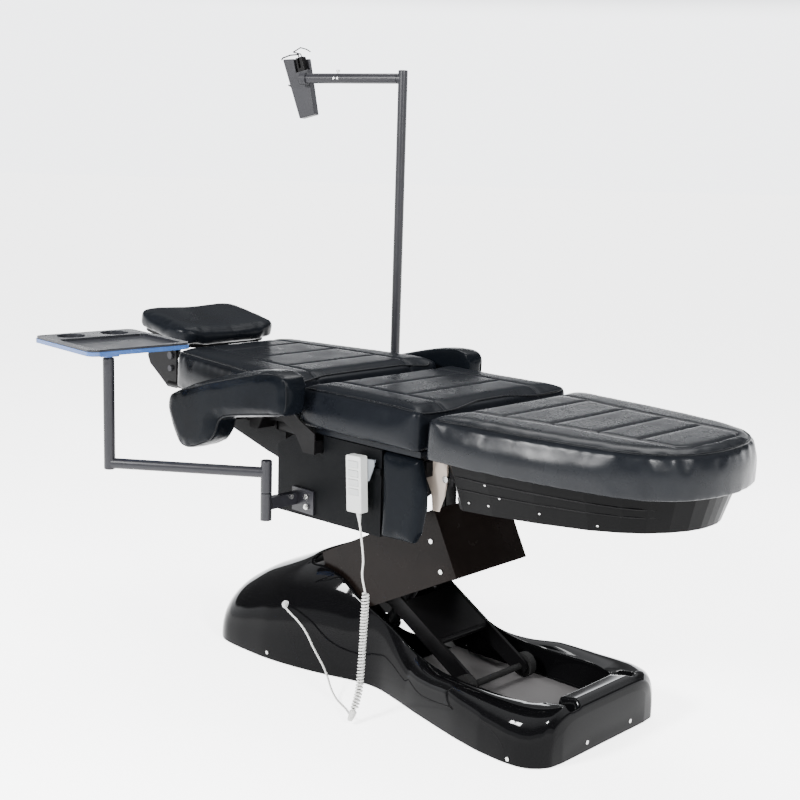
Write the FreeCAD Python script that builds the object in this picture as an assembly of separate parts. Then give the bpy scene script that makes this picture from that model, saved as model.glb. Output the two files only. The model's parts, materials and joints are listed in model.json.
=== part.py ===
import FreeCAD, Part
import math
import os

os.makedirs("parts", exist_ok=True)
V = FreeCAD.Vector

# ---------------------------------------------------------------- driving dimensions (mm)
# frame: +X towards the foot end, -Y the user's side, +Z up, origin on the floor under the base
HALF_W = 275.0            # half width of the seat and of the backrest at the hip
TOP_Z = 757.0             # top of the seat leather
SEAT_X0, SEAT_X1 = -165.0, 250.0
SEAT_Z0 = 666.0
LEG_X0, LEG_X1 = 268.0, 888.0
BACK_X0, BACK_X1 = -762.0, -182.0
BASE_X0, BASE_X1 = -600.0, 602.0

PIV = (-420.0, 68.0)      # lift arm pivot in the base, x and z
TAN0 = 0.564
TH0 = math.atan(TAN0)     # lift arm slope at rest, 29.4 degrees
C0, S0 = math.cos(TH0), math.sin(TH0)
A1 = 350.0 / C0           # pivot to cross pin
L_ARM = 540.0 / C0        # pivot to the platform pin
CROSS = (PIV[0] + A1 * C0, PIV[1] + A1 * S0)
TOPP = (PIV[0] + L_ARM * C0, PIV[1] + L_ARM * S0)
ROLL = (PIV[0] + 2 * A1 * C0, PIV[1])
LINK_OFF = (-S0 * 50.0, C0 * 50.0)
LINK_A = (PIV[0] + LINK_OFF[0], PIV[1] + LINK_OFF[1])
LINK_B = (TOPP[0] + LINK_OFF[0], TOPP[1] + LINK_OFF[1])
MOT_A = (-120.0, 45.0)    # lower pin of the lift motor
MOT_B = (PIV[0] + 560.0 * C0, PIV[1] + 560.0 * S0)

HB = (-275.0, 705.0)      # backrest hinge, x and z
HL = (285.0, 600.0)       # leg rest hinge
ARM_PIN = (-430.0, 650.0) # armrest pivot
ARM_Y0, ARM_Y1 = 292.0, 363.0
CLR = 0.05                # running clearance of pins, radial

TUBE_R = 14.0
TRAY_TUBE = (-170.0, -362.0)
TRAY_POST = (-488.0, -597.0)
ARM_Z = 551.0
TRAY_C = (-610.0, -505.0)
TRAY_Z = 822.0
TRAY_A = -4.5
TRAY_SX, TRAY_SY, TRAY_T = 300.0, 280.0, 16.0
POLE_TUBE = (-170.0, 362.0)
POLE = (-525.0, 440.0)
POLE_TOP = 1561.0
TOPARM_Z = 1537.0
TOPARM_END = (-850.0, 333.0)

CORD_D = 5.0
COIL_D = 19.0
PILLOW_T = 46.0
BACK_TOP = 766.0
PILLOW_HX, PILLOW_HY = 120.0, 174.0


# ---------------------------------------------------------------- helpers
def save(name, shape):
    if isinstance(shape, (list, tuple)):
        shape = Part.makeCompound(list(shape)) if len(shape) > 1 else shape[0]
    shape.exportStep("parts/%s.step" % name)
    bb = shape.BoundBox
    print("%-24s solids %2d vol %9.1f cm3 x %7.1f %7.1f y %7.1f %7.1f z %7.1f %7.1f valid %s" % (
        name, len(shape.Solids), shape.Volume / 1000.0, bb.XMin, bb.XMax, bb.YMin, bb.YMax, bb.ZMin, bb.ZMax, shape.isValid()))


def box(x0, x1, y0, y1, z0, z1):
    return Part.makeBox(x1 - x0, y1 - y0, z1 - z0, V(x0, y0, z0))


def cyl(p, d, r, h):
    return Part.makeCylinder(r, h, V(*p), V(*d))


def ycyl(x, z, r, y0, y1):
    return Part.makeCylinder(r, y1 - y0, V(x, y0, z), V(0, 1, 0))


def rod(p, q, r):
    a, b = V(*p), V(*q)
    return Part.makeCylinder(r, (b - a).Length, a, b - a)


def xz(pts, y0, y1):
    w = Part.makePolygon([V(x, y0, z) for x, z in pts] + [V(pts[0][0], y0, pts[0][1])])
    return Part.Face(w).extrude(V(0, y1 - y0, 0))


def xy(pts, z0, z1):
    w = Part.makePolygon([V(x, y, z0) for x, y in pts] + [V(pts[0][0], pts[0][1], z0)])
    return Part.Face(w).extrude(V(0, 0, z1 - z0))


def fuse(*s):
    r = s[0]
    for t in s[1:]:
        r = r.fuse(t)
    return r.removeSplitter()


def cut(a, *s):
    for t in s:
        a = a.cut(t)
    return a


def both(s):
    """the same solid on the other side of the couch"""
    return [s, s.mirror(V(0, 0, 0), V(0, 1, 0))]


def bar_xz(p, q, half, y0, y1, extra=0.0):
    """flat bar with round ends between two pins, in the XZ plane"""
    dx, dz = q[0] - p[0], q[1] - p[1]
    n = math.hypot(dx, dz)
    ux, uz = dx / n, dz / n
    nx, nz = -uz * half, ux * half
    body = xz([(p[0] + nx, p[1] + nz), (q[0] + nx, q[1] + nz), (q[0] - nx, q[1] - nz), (p[0] - nx, p[1] - nz)], y0, y1)
    return fuse(body, ycyl(p[0], p[1], half, y0, y1), ycyl(q[0], q[1], half, y0, y1))


def fillet_all(s, r, pick):
    e = [x for x in s.Edges if pick(x)]
    try:
        return s.makeFillet(r, e)
    except Exception as err:
        print("fillet left out:", err)
        return s


def is_vertical(e):
    return len(e.Vertexes) == 2 and abs(e.Vertexes[0].Point.x - e.Vertexes[1].Point.x) < 0.01 and abs(e.Vertexes[0].Point.y - e.Vertexes[1].Point.y) < 0.01


def along_y(e):
    return len(e.Vertexes) == 2 and abs(e.Vertexes[0].Point.x - e.Vertexes[1].Point.x) < 0.01 and abs(e.Vertexes[0].Point.z - e.Vertexes[1].Point.z) < 0.01


def smooth_outline(half_pts, z):
    """closed outline from points of one side, first and last on the couch's middle line or square to it"""
    pts = [V(x, y, z) for x, y in half_pts] + [V(x, -y, z) for x, y in reversed(half_pts)]
    clean = [pts[0]]
    for p in pts[1:]:
        if (p - clean[-1]).Length > 0.5:
            clean.append(p)
    if (clean[0] - clean[-1]).Length < 0.5:
        clean.pop()
    return Part.makePolygon(clean + [clean[0]])


def interp(tab, x):
    if x <= tab[0][0]:
        return tab[0][1]
    for (a, va), (b, vb) in zip(tab, tab[1:]):
        if x <= b:
            t = (x - a) / (b - a)
            return va + (vb - va) * t
    return tab[-1][1]


# ---------------------------------------------------------------- base shell
W_TAB = [(-600, 70), (-592, 118), (-575, 162), (-537, 206), (-500, 234), (-474, 243), (-420, 246), (-318, 244), (-260, 236), (-204, 225),
         (-150, 211), (-103, 196), (-70, 184), (-38, 173), (0, 164), (40, 164), (80, 172), (131, 184), (190, 199), (250, 212), (346, 232),
         (416, 242), (480, 250), (514, 253), (545, 248), (568, 238), (585, 222), (597, 200), (602, 176)]
H_TAB = [(-600, 34), (-592, 62), (-575, 92), (-537, 133), (-500, 164), (-474, 182), (-420, 212), (-318, 257), (-260, 284), (-204, 298),
         (-150, 301), (-103, 294), (-70, 279), (-38, 281), (0, 298), (40, 272), (80, 224), (131, 184), (190, 156), (250, 146), (316, 148),
         (346, 147), (416, 143), (480, 137), (514, 134), (545, 132), (568, 131), (585, 128), (597, 116), (602, 96)]
RIM_TAB = [(230, 100), (260, 97), (316, 99), (408, 104), (496, 111), (540, 114), (602, 116)]
FLOOR_Z = 36.5


def foot_part(x):
    """0 at the arch, 1 at the foot end, where the shell gets squarer"""
    return max(0.0, min(1.0, (x - 150.0) / 170.0))


def shell_section(x, dw, z0):
    w = interp(W_TAB, x) - dw
    h = interp(H_TAB, x) - dw
    n = 24
    f = foot_part(x)
    ey, ez = 3.2 + 3.6 * f, 2.2 + 0.8 * f
    g = max(0.0, min(1.0, (x - 430.0) / 90.0))
    dish = max(0.0, min(1.0, (x - 190.0) / 60.0))
    dish = dish * dish * (3 - 2 * dish)
    top146 = (1 - (146.0 / w) ** ey) ** (1.0 / ez) * (h - z0) + z0 if w > 146 else 0.0
    drop = max(0.0, top146 - (interp(RIM_TAB, x) - dw)) * dish
    pts = []
    for i in range(n + 1):
        a = math.pi * i / n
        c, s = math.cos(a), math.sin(a)
        y = math.copysign(abs(c) ** (2.0 / ey), -c) * w
        z = (abs(s) ** (2.0 / ez)) * (h - z0) + z0
        u = max(0.0, min(1.0, (w - 12.0 - abs(y)) / (w - 12.0 - 146.0)))
        z -= drop * u * u * (3 - 2 * u)
        y += 9.0 * g
        pts.append(V(x, y, z))
    arc = Part.makePolygon(pts)
    return Part.Wire(Part.makePolygon(pts + [pts[0]]).Edges)


def shell_solid(dw, z0, xs):
    return Part.makeLoft([shell_section(x, dw, z0) for x in xs], True, True)


XS = [t[0] for t in W_TAB]
outer = shell_solid(0.0, 3.0, XS)
XI = [-594.0] + XS[2:-2] + [597.0]
inner = shell_solid(4.5, 1.5, XI)
print("outer", outer.isValid(), outer.Volume / 1000, "inner", inner.isValid(), inner.Volume / 1000)
OPEN = [(-252, 120), (-244, 137), (-120, 138), (60, 138), (250, 150), (470, 155), (512, 148), (534, 120), (536, 0)]
open_pts = OPEN + [(x, -y) for x, y in reversed(OPEN[:-1])]
opening = xy(open_pts, 34.0, 420.0)
tray_out = [(20, 141.5), (60, 141.5), (250, 153.5), (472, 158.5), (516, 151), (538, 122), (539.5, 0)]
tray_pts = tray_out + [(x, -y) for x, y in reversed(tray_out[:-1])]
tray_solid = xy(tray_pts, 33.0, 330.0).common(outer)
cover = cut(outer, inner, opening)
trayshell = cut(tray_solid, xy([(0, 138)] + OPEN[3:] + [(x, -y) for x, y in reversed(OPEN[3:-1])] + [(0, -138)], FLOOR_Z, 420.0))
cover = fuse(cover, trayshell)
# raised step of the recess at its foot end
step = xy([(486, -70), (540, -78), (540, 128), (486, 120)], FLOOR_Z - 2.0, 84.0)
step = cut(step, xz([(480, 84), (480, 60), (500, 84)], -200, 200)).common(outer)
cover = fuse(cover, step)
gdir = V(0.60, -0.78, 0.12)
gdir.normalize()
gpos = V(-262, -211.5, 156)
hole = Part.makeCylinder(6.6, 40, gpos - gdir * 20, gdir)
cover = cut(cover, hole)
inlet_cut = box(-470, -420, 215, 262, 40, 74)
cover = cut(cover, inlet_cut)
print("cover solids", len(cover.Solids), [round(s.Volume / 1000, 1) for s in cover.Solids])
cover = max(cover.Solids, key=lambda s: s.Volume)
save("base_cover", cover)

# small screws that hold the shell to the frame
scr = []
for x, y, z, d in ((520, -242.0, 14, (0, -1, 0)), (470, -239.0, 20, (0, -1, 0)), (600.3, -60, 24, (1, 0, 0)), (600.3, 110, 24, (1, 0, 0)),
                   (520, 259.0, 14, (0, 1, 0)), (-300, -241.5, 20, (0, -1, 0)), (-300, 241.5, 20, (0, 1, 0)), (-110, 197.0, 20, (0, 1, 0))):
    c = Part.makeCylinder(5.0, 2.6, V(x, y, z), V(*d))
    scr.append(c.cut(outer))
scr = [s for c in scr for s in c.Solids if s.Volume > 5]
save("base_cover_screws", scr)

# ---------------------------------------------------------------- base frame
plate = xy([(-560, -130), (-520, -190), (-330, -205), (-60, -140), (60, -140), (330, -200), (520, -205), (560, -170), (560, 170), (520, 205),
            (330, 200), (60, 140), (-60, 140), (-330, 205), (-520, 190), (-560, 130)], 4.0, 9.0)
rails = []
for s in (1, -1):
    r = box(-540, 540, min(s * 128, s * 98), max(s * 128, s * 98), 9.0, 31.0)
    rails.append(r)
frame = fuse(plate, *rails)
frame = fuse(frame, box(-540, -500, -98, 98, 9, 31), box(500, 540, -98, 98, 9, 31))
# arm pivot brackets
for s in (1, -1):
    y0, y1 = (118, 126) if s > 0 else (-126, -118)
    frame = fuse(frame, xz([(-470, 9), (-370, 9), (-400, 92), (-440, 92)], y0, y1))
    y0, y1 = (22, 28) if s > 0 else (-28, -22)
    frame = fuse(frame, xz([(-490, 9), (-400, 9), (-425, 130), (-465, 130)], y0, y1))
    y0, y1 = (46, 54) if s > 0 else (-54, -46)
    frame = fuse(frame, xz([(-150, 9), (-90, 9), (-105, 62), (-135, 62)], y0, y1))
frame = cut(frame, ycyl(PIV[0], PIV[1], 10 + CLR, -140, 140), ycyl(LINK_A[0], LINK_A[1], 8 + CLR, -40, 40), ycyl(MOT_A[0], MOT_A[1], 8 + CLR, -70, 70))
save("base_frame", frame)
save("floor_pads", [box(-545, -485, -125, 125, 0, 4), box(-30, 30, -130, 130, 0, 4), box(490, 550, -160, 160, 0, 4)])
save("base_pivot_pins", [ycyl(PIV[0], PIV[1], 10, -131, 131), ycyl(LINK_A[0], LINK_A[1], 8, -33, 33), ycyl(MOT_A[0], MOT_A[1], 8, -58, 58)])
ctrl = fillet_all(box(-546, -493, -88, 88, 31.0, 100), 6, is_vertical)
save("control_box", ctrl)
inlet = fuse(box(-469, -421, 216, 240, 41, 73))
inlet = cut(inlet, box(-461, -429, 226, 245, 47, 67))
inlet = fuse(inlet, rod((-455, 225, 57), (-455, 236, 57), 1.6), rod((-445, 225, 57), (-445, 236, 57), 1.6), rod((-435, 225, 57), (-435, 236, 57), 1.6))
save("mains_inlet", inlet)
gl = Part.makeCylinder(9.0, 3.4, gpos + gdir * 2.2, gdir).cut(outer)
gl = gl.fuse(Part.makeCylinder(6.0, 22.0, gpos - gdir * 14, gdir))
gl = gl.fuse(Part.makeCone(5.5, 4.2, 9.0, gpos + gdir * 5.6, gdir))
gl = gl.cut(Part.makeCylinder(CORD_D / 2 + 0.3, 60, gpos - gdir * 20, gdir)).removeSplitter()
save("cord_gland", gl)

# ---------------------------------------------------------------- lift arm with its sheet metal cover
parts = []
for s in (1, -1):
    y0, y1 = (106, 114) if s > 0 else (-114, -106)
    parts.append(bar_xz(PIV, TOPP, 24, y0, y1))


def on_arm(d, off=0.0):
    return (PIV[0] + d * C0 - off * S0, PIV[1] + d * S0 + off * C0)


t1, t2 = on_arm(120, -4), on_arm(250, -8)
arm = fuse(parts[0], ycyl(t1[0], t1[1], 13, -110, 110), parts[1], ycyl(t2[0], t2[1], 13, -110, 110))
arm = cut(arm, ycyl(PIV[0], PIV[1], 10 + CLR, -140, 140), ycyl(TOPP[0], TOPP[1], 10 + CLR, -140, 140), ycyl(CROSS[0], CROSS[1], 10 + CLR, -140, 140),
          ycyl(MOT_B[0], MOT_B[1], 8 + CLR, -140, 140))
save("lift_arm_pins", [ycyl(CROSS[0], CROSS[1], 10, -117, 117), ycyl(TOPP[0], TOPP[1], 10, -128.5, 128.5), ycyl(MOT_B[0], MOT_B[1], 8, -117, 117)])

COV = [(-212, 293), (174, 492), (253, 339), (-25, 196), (-160, 126)]
COV_Y = 132.0
co = xz(COV, -COV_Y, COV_Y)
ci = xz([(-240, 275), (172.5, 488.4), (250, 338), (262, 330), (-25, 180), (-170, 100)], -COV_Y + 2, COV_Y - 2)
cov = cut(co, ci)
# the top stays open where the platform brackets come down
cov = cut(cov, xz([(24, 360), (170, 440), (173.5, 500), (150, 560), (24, 560)], -COV_Y + 2, COV_Y - 2))
for s in (1, -1):
    for d0, h0 in ((169, 411), (204, 343)):
        cov = cut(cov, ycyl(d0, h0, 3.1, min(s * 128, s * 134), max(s * 128, s * 134)))
cov = max(cov.Solids, key=lambda q: q.Volume)
save("arm_cover", cov)
cs = []
for s in (1, -1):
    for d0, h0 in ((169, 411), (204, 343)):
        if s > 0:
            cs.append(fuse(ycyl(d0, h0, 2.9, 128, 132.2), ycyl(d0, h0, 6.0, 132.2, 134.6)))
        else:
            cs.append(fuse(ycyl(d0, h0, 2.9, -132.2, -128), ycyl(d0, h0, 6.0, -134.6, -132.2)))
save("arm_cover_screws", cs)
# tabs that carry the cover on the arm: short blocks between arm plate and cover side
tabs = []
for d in (165, 560):
    p = on_arm(d, 0)
    for s in (1, -1):
        y0, y1 = (114.1, 129.9) if s > 0 else (-129.9, -114.1)
        tabs.append(xz([(p[0] - 14, p[1] - 8), (p[0] + 14, p[1] - 8), (p[0] + 14, p[1] + 8), (p[0] - 14, p[1] + 8)], y0, y1))
save("lift_arm", [arm] + tabs[:2])

# level link that keeps the platform horizontal
link = bar_xz(LINK_A, LINK_B, 12, -12, 12)
link = cut(link, ycyl(LINK_A[0], LINK_A[1], 8 + CLR, -20, 20), ycyl(LINK_B[0], LINK_B[1], 8.4, -20, 20))
save("level_link", link)

# ---------------------------------------------------------------- lower fork
fk_parts = []
fx = (ROLL[0] - CROSS[0], ROLL[1] - CROSS[1])
fn = math.hypot(*fx)
fu = (fx[0] / fn, fx[1] / fn)


def on_fork(d, off=0.0):
    return (CROSS[0] + d * fu[0] - off * fu[1], CROSS[1] + d * fu[1] + off * fu[0])


for s in (1, -1):
    y0, y1 = (90, 98) if s > 0 else (-98, -90)
    fk_parts.append(bar_xz(CROSS, ROLL, 22, y0, y1))
web = xz([on_fork(126, 15), on_fork(262, 15), on_fork(262, 20), on_fork(126, 20)], -92, 92)
tie = ycyl(*on_fork(262, 8), 10, -92, 92)
fork = fuse(fk_parts[0], web, tie, fk_parts[1])
fork = cut(fork, ycyl(CROSS[0], CROSS[1], 10 + CLR, -140, 140), ycyl(ROLL[0], ROLL[1], 8 + CLR, -140, 140))
save("lower_fork", fork)
axle = ycyl(ROLL[0], ROLL[1], 8, -126, 126)
rl = cut(ycyl(ROLL[0], ROLL[1], 30.5, 101, 121), ycyl(ROLL[0], ROLL[1], 8 + CLR, 90, 130))
save("fork_rollers", [axle] + both(rl))

# ---------------------------------------------------------------- lift motor
mv = (MOT_B[0] - MOT_A[0], MOT_B[1] - MOT_A[1])
ml = math.hypot(*mv)
mu = V(mv[0] / ml, 0, mv[1] / ml)
ma = V(MOT_A[0], 0, MOT_A[1])
mb = V(MOT_B[0], 0, MOT_B[1])
ext_r0, ext_r1, ext_h = 17.0, 24.0, 11.0


def motor(a, u, tube_len, side):
    """gear housing with its lower eye, motor can on one side, outer tube"""
    gear = Part.makeCylinder(24, 66, a + u * 14, u)
    eye = Part.makeCylinder(16, 40, a - V(0, 20, 0), V(0, 1, 0))
    tube = Part.makeCylinder(18, tube_len, a + u * 70, u)
    n = V(-u.z, 0, u.x)
    can = Part.makeCylinder(21, 86, a + u * 48 + n * 8 * side, n * side)
    s = fuse(gear, eye, tube, can)
    s = s.cut(Part.makeCylinder(8 + CLR, 60, a - V(0, 30, 0), V(0, 1, 0)))
    s = s.cut(Part.makeCylinder(11.3, tube_len + 10, a + u * 90, u))
    return s


lm = motor(ma, mu, 186, 1)
save("lift_motor", lm)
ring = cut(Part.makeCylinder(ext_r1, 2 * ext_h, mb - V(0, ext_h, 0), V(0, 1, 0)))
rodb = Part.makeCylinder(11, (ml - 20) - 170, ma + mu * 170, mu)
lr = fuse(ring, rodb)
lr = lr.cut(Part.makeCylinder(ext_r0, 80, mb - V(0, 40, 0), V(0, 1, 0)))
lr = max(lr.Solids, key=lambda q: q.Volume)
save("lift_motor_rod", lr)

# ---------------------------------------------------------------- platform (seat frame)
SF_Z0, SF_Z1 = 600.0, 636.0
sf = []
for s in (1, -1):
    sf.append(box(-155, 245, min(s * 200, s * 240), max(s * 200, s * 240), SF_Z0, SF_Z1))
for x0, x1 in ((-155, -120), (-104, -60), (40, 76), (108, 150), (205, 245)):
    sf.append(box(x0, x1, -205, 205, 624, SF_Z1))
for s in (1, -1):
    y0, y1 = (117.5, 125) if s > 0 else (-125, -117.5)
    sf.append(xz([(30, 630), (235, 630), (230, 590), (140, 512), (140, 350), (94, 350), (88, 470), (30, 590)], y0, y1))
    y0, y1 = (16, 22) if s > 0 else (-22, -16)
    sf.append(xz([(41, 630), (108, 630), (110, 398), (80, 398), (66, 480), (41, 560)], y0, y1))
    # side hinge plates of the backrest
    y0, y1 = (284, 288.5) if s > 0 else (-288.5, -284)
    sf.append(xz([(-150, 640), (-120, 600), (-80, 600), (-80, 652), (-185, 700), (-262, 722), (-288, 722), (-294, 700), (-285, 686), (-200, 668)], y0, y1))
    sf.append(box(-120, -80, min(s * 236, s * 286), max(s * 236, s * 286), 603, 633))
    # leg rest hinge plates
    y0, y1 = (206, 212) if s > 0 else (-212, -206)
    sf.append(xz([(200, 606), (240, 634), (290, 622), (306, 606), (302, 584), (280, 578), (225, 596)], y0, y1))
seat_frame = fuse(*sf)
cuts = [ycyl(TOPP[0], TOPP[1], 10 + CLR, -140, 140), ycyl(LINK_B[0], LINK_B[1], 8 + CLR, -40, 40), ycyl(HL[0], HL[1], 8 + CLR, -230, 230)]
for s in (1, -1):
    cuts.append(ycyl(HB[0], HB[1], 6 + CLR, min(s * 270, s * 300), max(s * 270, s * 300)))
seat_frame = cut(seat_frame, *cuts)
print("seat frame solids", len(seat_frame.Solids))
pins = [ycyl(LINK_B[0], LINK_B[1], 8, -26, 26)]
for s in (1, -1):
    pins.append(ycyl(HL[0], HL[1], 8, min(s * 196, s * 221), max(s * 196, s * 221)))
    pins.append(ycyl(HB[0], HB[1], 6, min(s * 279, s * 289.5), max(s * 279, s * 289.5)))
save("section_hinge_pins", pins)
SIDE_CH = 14.0
sb_ = box(SEAT_X0 + 4, SEAT_X1 - 4, -262, 262, 648, 662)
save("seat_board", sb_)
sc = box(SEAT_X0, SEAT_X1, -HALF_W, HALF_W, SEAT_Z0 - 3.7, TOP_Z)
sc = fillet_all(sc, 22, is_vertical)
sc = fillet_all(sc, 12, lambda e: e.BoundBox.ZMin > TOP_Z - 0.1)
save("seat_cushion", sc)
fillers = [box(-150, 240, min(s * 206, s * 242.5), max(s * 206, s * 242.5), 636.3, 647.7) for s in (1, -1)]
lhb = cut(xz([(222, 599.6), (245.4, 599.6), (245.4, 645), (288, 645), (289, 600), (282, 560), (266, 520), (248, 520), (244, 560),], 214, 219), ycyl(HL[0], HL[1], 8 + CLR, 200, 230))
save("leg_hinge_brackets", both(lhb))

# side panels under the seat, flat part and padded foot part
pn = xz([(-243, 428), (124, 436), (124, 645), (-76, 645), (-76, 600.5), (-124, 600.5), (-124, 645), (-165, 641), (-243, 598)], -262, -251)
rail = box(30, 124, -266.2, -262.0, 585, 600)
save("side_panels", both(pn) + [rail])
pad = xz([(126, 436), (232, 440), (250, 470), (262, 530), (262, 580), (246, 645), (126, 645)], -269, -243)
pad = fillet_all(pad, 8, lambda e: e.BoundBox.YMax < -268.9 and not (e.BoundBox.XMax < 126.1))
save("side_pads", both(pad))
# hangers that carry the panels from the seat rails
hg = []
for s in (1, -1):
    for x0, x1 in ((-100, -60), (60, 100), (150, 190)):
        h = fuse(box(x0, x1, min(s * 240.3, s * 244), max(s * 240.3, s * 244), 606, 632), box(x0, x1, min(s * 240.3, s * 250.7), max(s * 240.3, s * 250.7), 580, 606.2)) if x0 < 140 else \
            box(x0, x1, min(s * 238.2, s * 242.7), max(s * 238.2, s * 242.7), 500, 598)
        hg.append(h)

# near side socket of the tray arm
ZS0, ZS1 = 432.0, 500.0


def socket(sgn, cx, cy):
    sleeve = cyl((cx, cy, ZS0), (0, 0, 1), TUBE_R, ZS1 - ZS0)
    y_in = -262.2 if sgn < 0 else 262.2
    plate_ = box(-182, -104, min(y_in, y_in + sgn * 5), max(y_in, y_in + sgn * 5), 440, 500)
    armb = box(cx - 9, cx + 9, min(y_in + sgn * 4, cy), max(y_in + sgn * 4, cy), 458, 488)
    s = fuse(sleeve, plate_, armb)
    s = s.cut(cyl((cx, cy, ZS0 + 12), (0, 0, 1), 10 + CLR, 120))
    return s


save("tray_bracket", socket(-1, *TRAY_TUBE))
save("pole_bracket", socket(1, *POLE_TUBE))
bl = []
for s in (1, -1):
    for x, z in ((-126, 484), (-126, 458)):
        y0 = s * 267.4
        bl.append(fuse(cyl((x, y0, z), (0, s, 0), 7.0, 5.0), cyl((x, y0 + s * 5.0, z), (0, s, 0), 4.0, 4.0)))
    bl.append(cyl((TRAY_TUBE[0] + 9.2, s * 290, 481), (1, 0, 0), 6.0, 4.5))
save("bracket_bolts", bl)


# ---------------------------------------------------------------- tray arm and tray
def capped(p, q, r):
    """round tube stick with softly rounded ends"""
    s = rod(p, q, r)
    try:
        s = s.makeFillet(3.0, [e for e in s.Edges if len(e.Vertexes) == 1])
    except Exception:
        pass
    return s


tp, pp = TRAY_TUBE, TRAY_POST
ta = fuse(capped((tp[0], tp[1], ZS1 + 0.4), (tp[0], tp[1], 582), TUBE_R), rod((tp[0], tp[1], ARM_Z), (pp[0], pp[1], ARM_Z), 13.2),
          capped((pp[0], pp[1], ARM_Z - 15), (pp[0], pp[1], TRAY_Z - 0.4 - 8), TUBE_R), cyl((pp[0], pp[1], TRAY_Z - 14), (0, 0, 1), 10, 12.0),
          cyl((tp[0], tp[1], ZS0 + 14), (0, 0, 1), 10, 100))
save("tray_arm", ta)


def tray_place(s):
    s = s.copy()
    s.rotate(V(0, 0, 0), V(0, 0, 1), TRAY_A)
    s.translate(V(TRAY_C[0], TRAY_C[1], 0))
    return s


hx, hy = TRAY_SX / 2, TRAY_SY / 2
z0 = TRAY_Z
tb = box(-hx, hx, -hy, hy, z0 + 4.2, z0 + TRAY_T)
tb = fillet_all(tb, 22, is_vertical)
well = fillet_all(box(-hx + 96, hx - 16, -hy + 18, hy - 18, z0 + 10, z0 + 40), 14, is_vertical)
tb = cut(tb, well, cyl((-hx + 50, -62, z0 + 7), (0, 0, 1), 36, 40), cyl((-hx + 50, 62, z0 + 7), (0, 0, 1), 36, 40))
tb = tray_place(tb)
save("tray_top", tb)
te = box(-hx - 2.5, hx + 2.5, -hy - 2.5, hy + 2.5, z0, z0 + 10.5)
te = fillet_all(te, 24, is_vertical)
ti = fillet_all(box(-hx - 0.15, hx + 0.15, -hy - 0.15, hy + 0.15, z0 + 4, z0 + 40), 22, is_vertical)
te = tray_place(te.cut(ti))
plate2 = cyl((pp[0], pp[1], z0 - 4), (0, 0, 1), 26, 4.2)
te = fuse(te, cut(plate2.common(tray_place(box(-hx, hx, -hy, hy, z0 - 10, z0 + 1))), cyl((pp[0], pp[1], z0 - 10), (0, 0, 1), 10 + CLR, 8.0)))
te = te.cut(cyl((pp[0], pp[1], z0 - 10), (0, 0, 1), 10 + CLR, 8.3))
save("tray_rim", te)

# ---------------------------------------------------------------- far side pole, top arm, holder
tp2 = POLE_TUBE
dirp = V(TOPARM_END[0] - POLE[0], TOPARM_END[1] - POLE[1], 0)
arm_len = dirp.Length
dirp.normalize()
outer_len = arm_len * 0.66
pole = fuse(capped((tp2[0], tp2[1], ZS1 + 0.4), (tp2[0], tp2[1], 582), TUBE_R), rod((tp2[0], tp2[1], ARM_Z), (POLE[0], POLE[1], ARM_Z), 13.2),
            capped((POLE[0], POLE[1], ARM_Z - 15), (POLE[0], POLE[1], POLE_TOP), TUBE_R), cyl((tp2[0], tp2[1], ZS0 + 14), (0, 0, 1), 10, 100))
pc = V(POLE[0], POLE[1], TOPARM_Z)
pole = fuse(pole, Part.makeCylinder(13.2, outer_len, pc, dirp))
pole = pole.cut(Part.makeCylinder(11.3, outer_len + 20, pc + dirp * 30, dirp))
save("pole", pole)
sidev = V(dirp.y, -dirp.x, 0)
if sidev.y > 0:
    sidev = sidev * -1
cc = pc + dirp * (outer_len - 11)
knob = fuse(Part.makeCylinder(3.0, 5, cc + V(0, 0, 15.2), V(0, 0, 1)), Part.makeCylinder(5.5, 6, cc + V(0, 0, 19), V(0, 0, 1)))
sc1 = Part.makeCylinder(3.6, 2.4, cc + sidev * 15.2 + dirp * 6, sidev)
sc2 = Part.makeCylinder(3.6, 2.4, cc + sidev * 15.2 - dirp * 6, sidev)
save("arm_collar", [knob, sc1, sc2])
aend = pc + dirp * arm_len
ext = Part.makeCylinder(15, arm_len - 17, pc + dirp * 17, dirp)
ext = ext.cut(Part.makeCylinder(13.2 + CLR, arm_len - 30, pc, dirp))
save("top_arm", ext)

# holder on the arm's end, in its own frame: x along the arm, y towards the user, z up the holder
tilt = math.radians(14)
w_ = dirp
up_ = V(0, 0, 1)
ux_ = up_ * math.cos(tilt) + w_ * math.sin(tilt)
wx_ = w_ * math.cos(tilt) - up_ * math.sin(tilt)
nx_ = sidev
HOLD = FreeCAD.Placement(FreeCAD.Matrix(wx_.x, nx_.x, ux_.x, aend.x, wx_.y, nx_.y, ux_.y, aend.y, wx_.z, nx_.z, ux_.z, aend.z, 0, 0, 0, 1))
HB_Y0, HB_Y1 = -47.0, -17.0


def hplace(s):
    s = s.copy()
    s.Placement = HOLD.multiply(s.Placement)
    return s


hb = xz([(-11.6, -112), (41.6, -112), (60, 74), (-21.4, 57)], HB_Y0, HB_Y1)
hb = fillet_all(hb, 4, lambda e: abs(e.Vertexes[0].Point.y - e.Vertexes[-1].Point.y) > 10)
hb = fillet_all(hb, 2.5, lambda e: abs(e.Vertexes[0].Point.z - e.Vertexes[-1].Point.z) > 100)
hb = hb.cut(box(-60, 23, HB_Y0 + 5, HB_Y1 + 20, 24, 120))
hub = Part.makeCylinder(19.5, 20, aend - dirp * 22, dirp)
hb = hplace(hb).fuse(hub).cut(Part.makeCylinder(15.0 + CLR, 60, aend - dirp * 50, dirp))
jaw = box(-9, 16, HB_Y0 + 5.5, HB_Y1 + 1, 24.6, 66)
jaw = fillet_all(jaw, 3, lambda e: abs(e.Vertexes[0].Point.z - e.Vertexes[-1].Point.z) > 30)
jaw = jaw.cut(box(1, 9, HB_Y1 - 8, HB_Y1 + 5, 34, 90))


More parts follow.
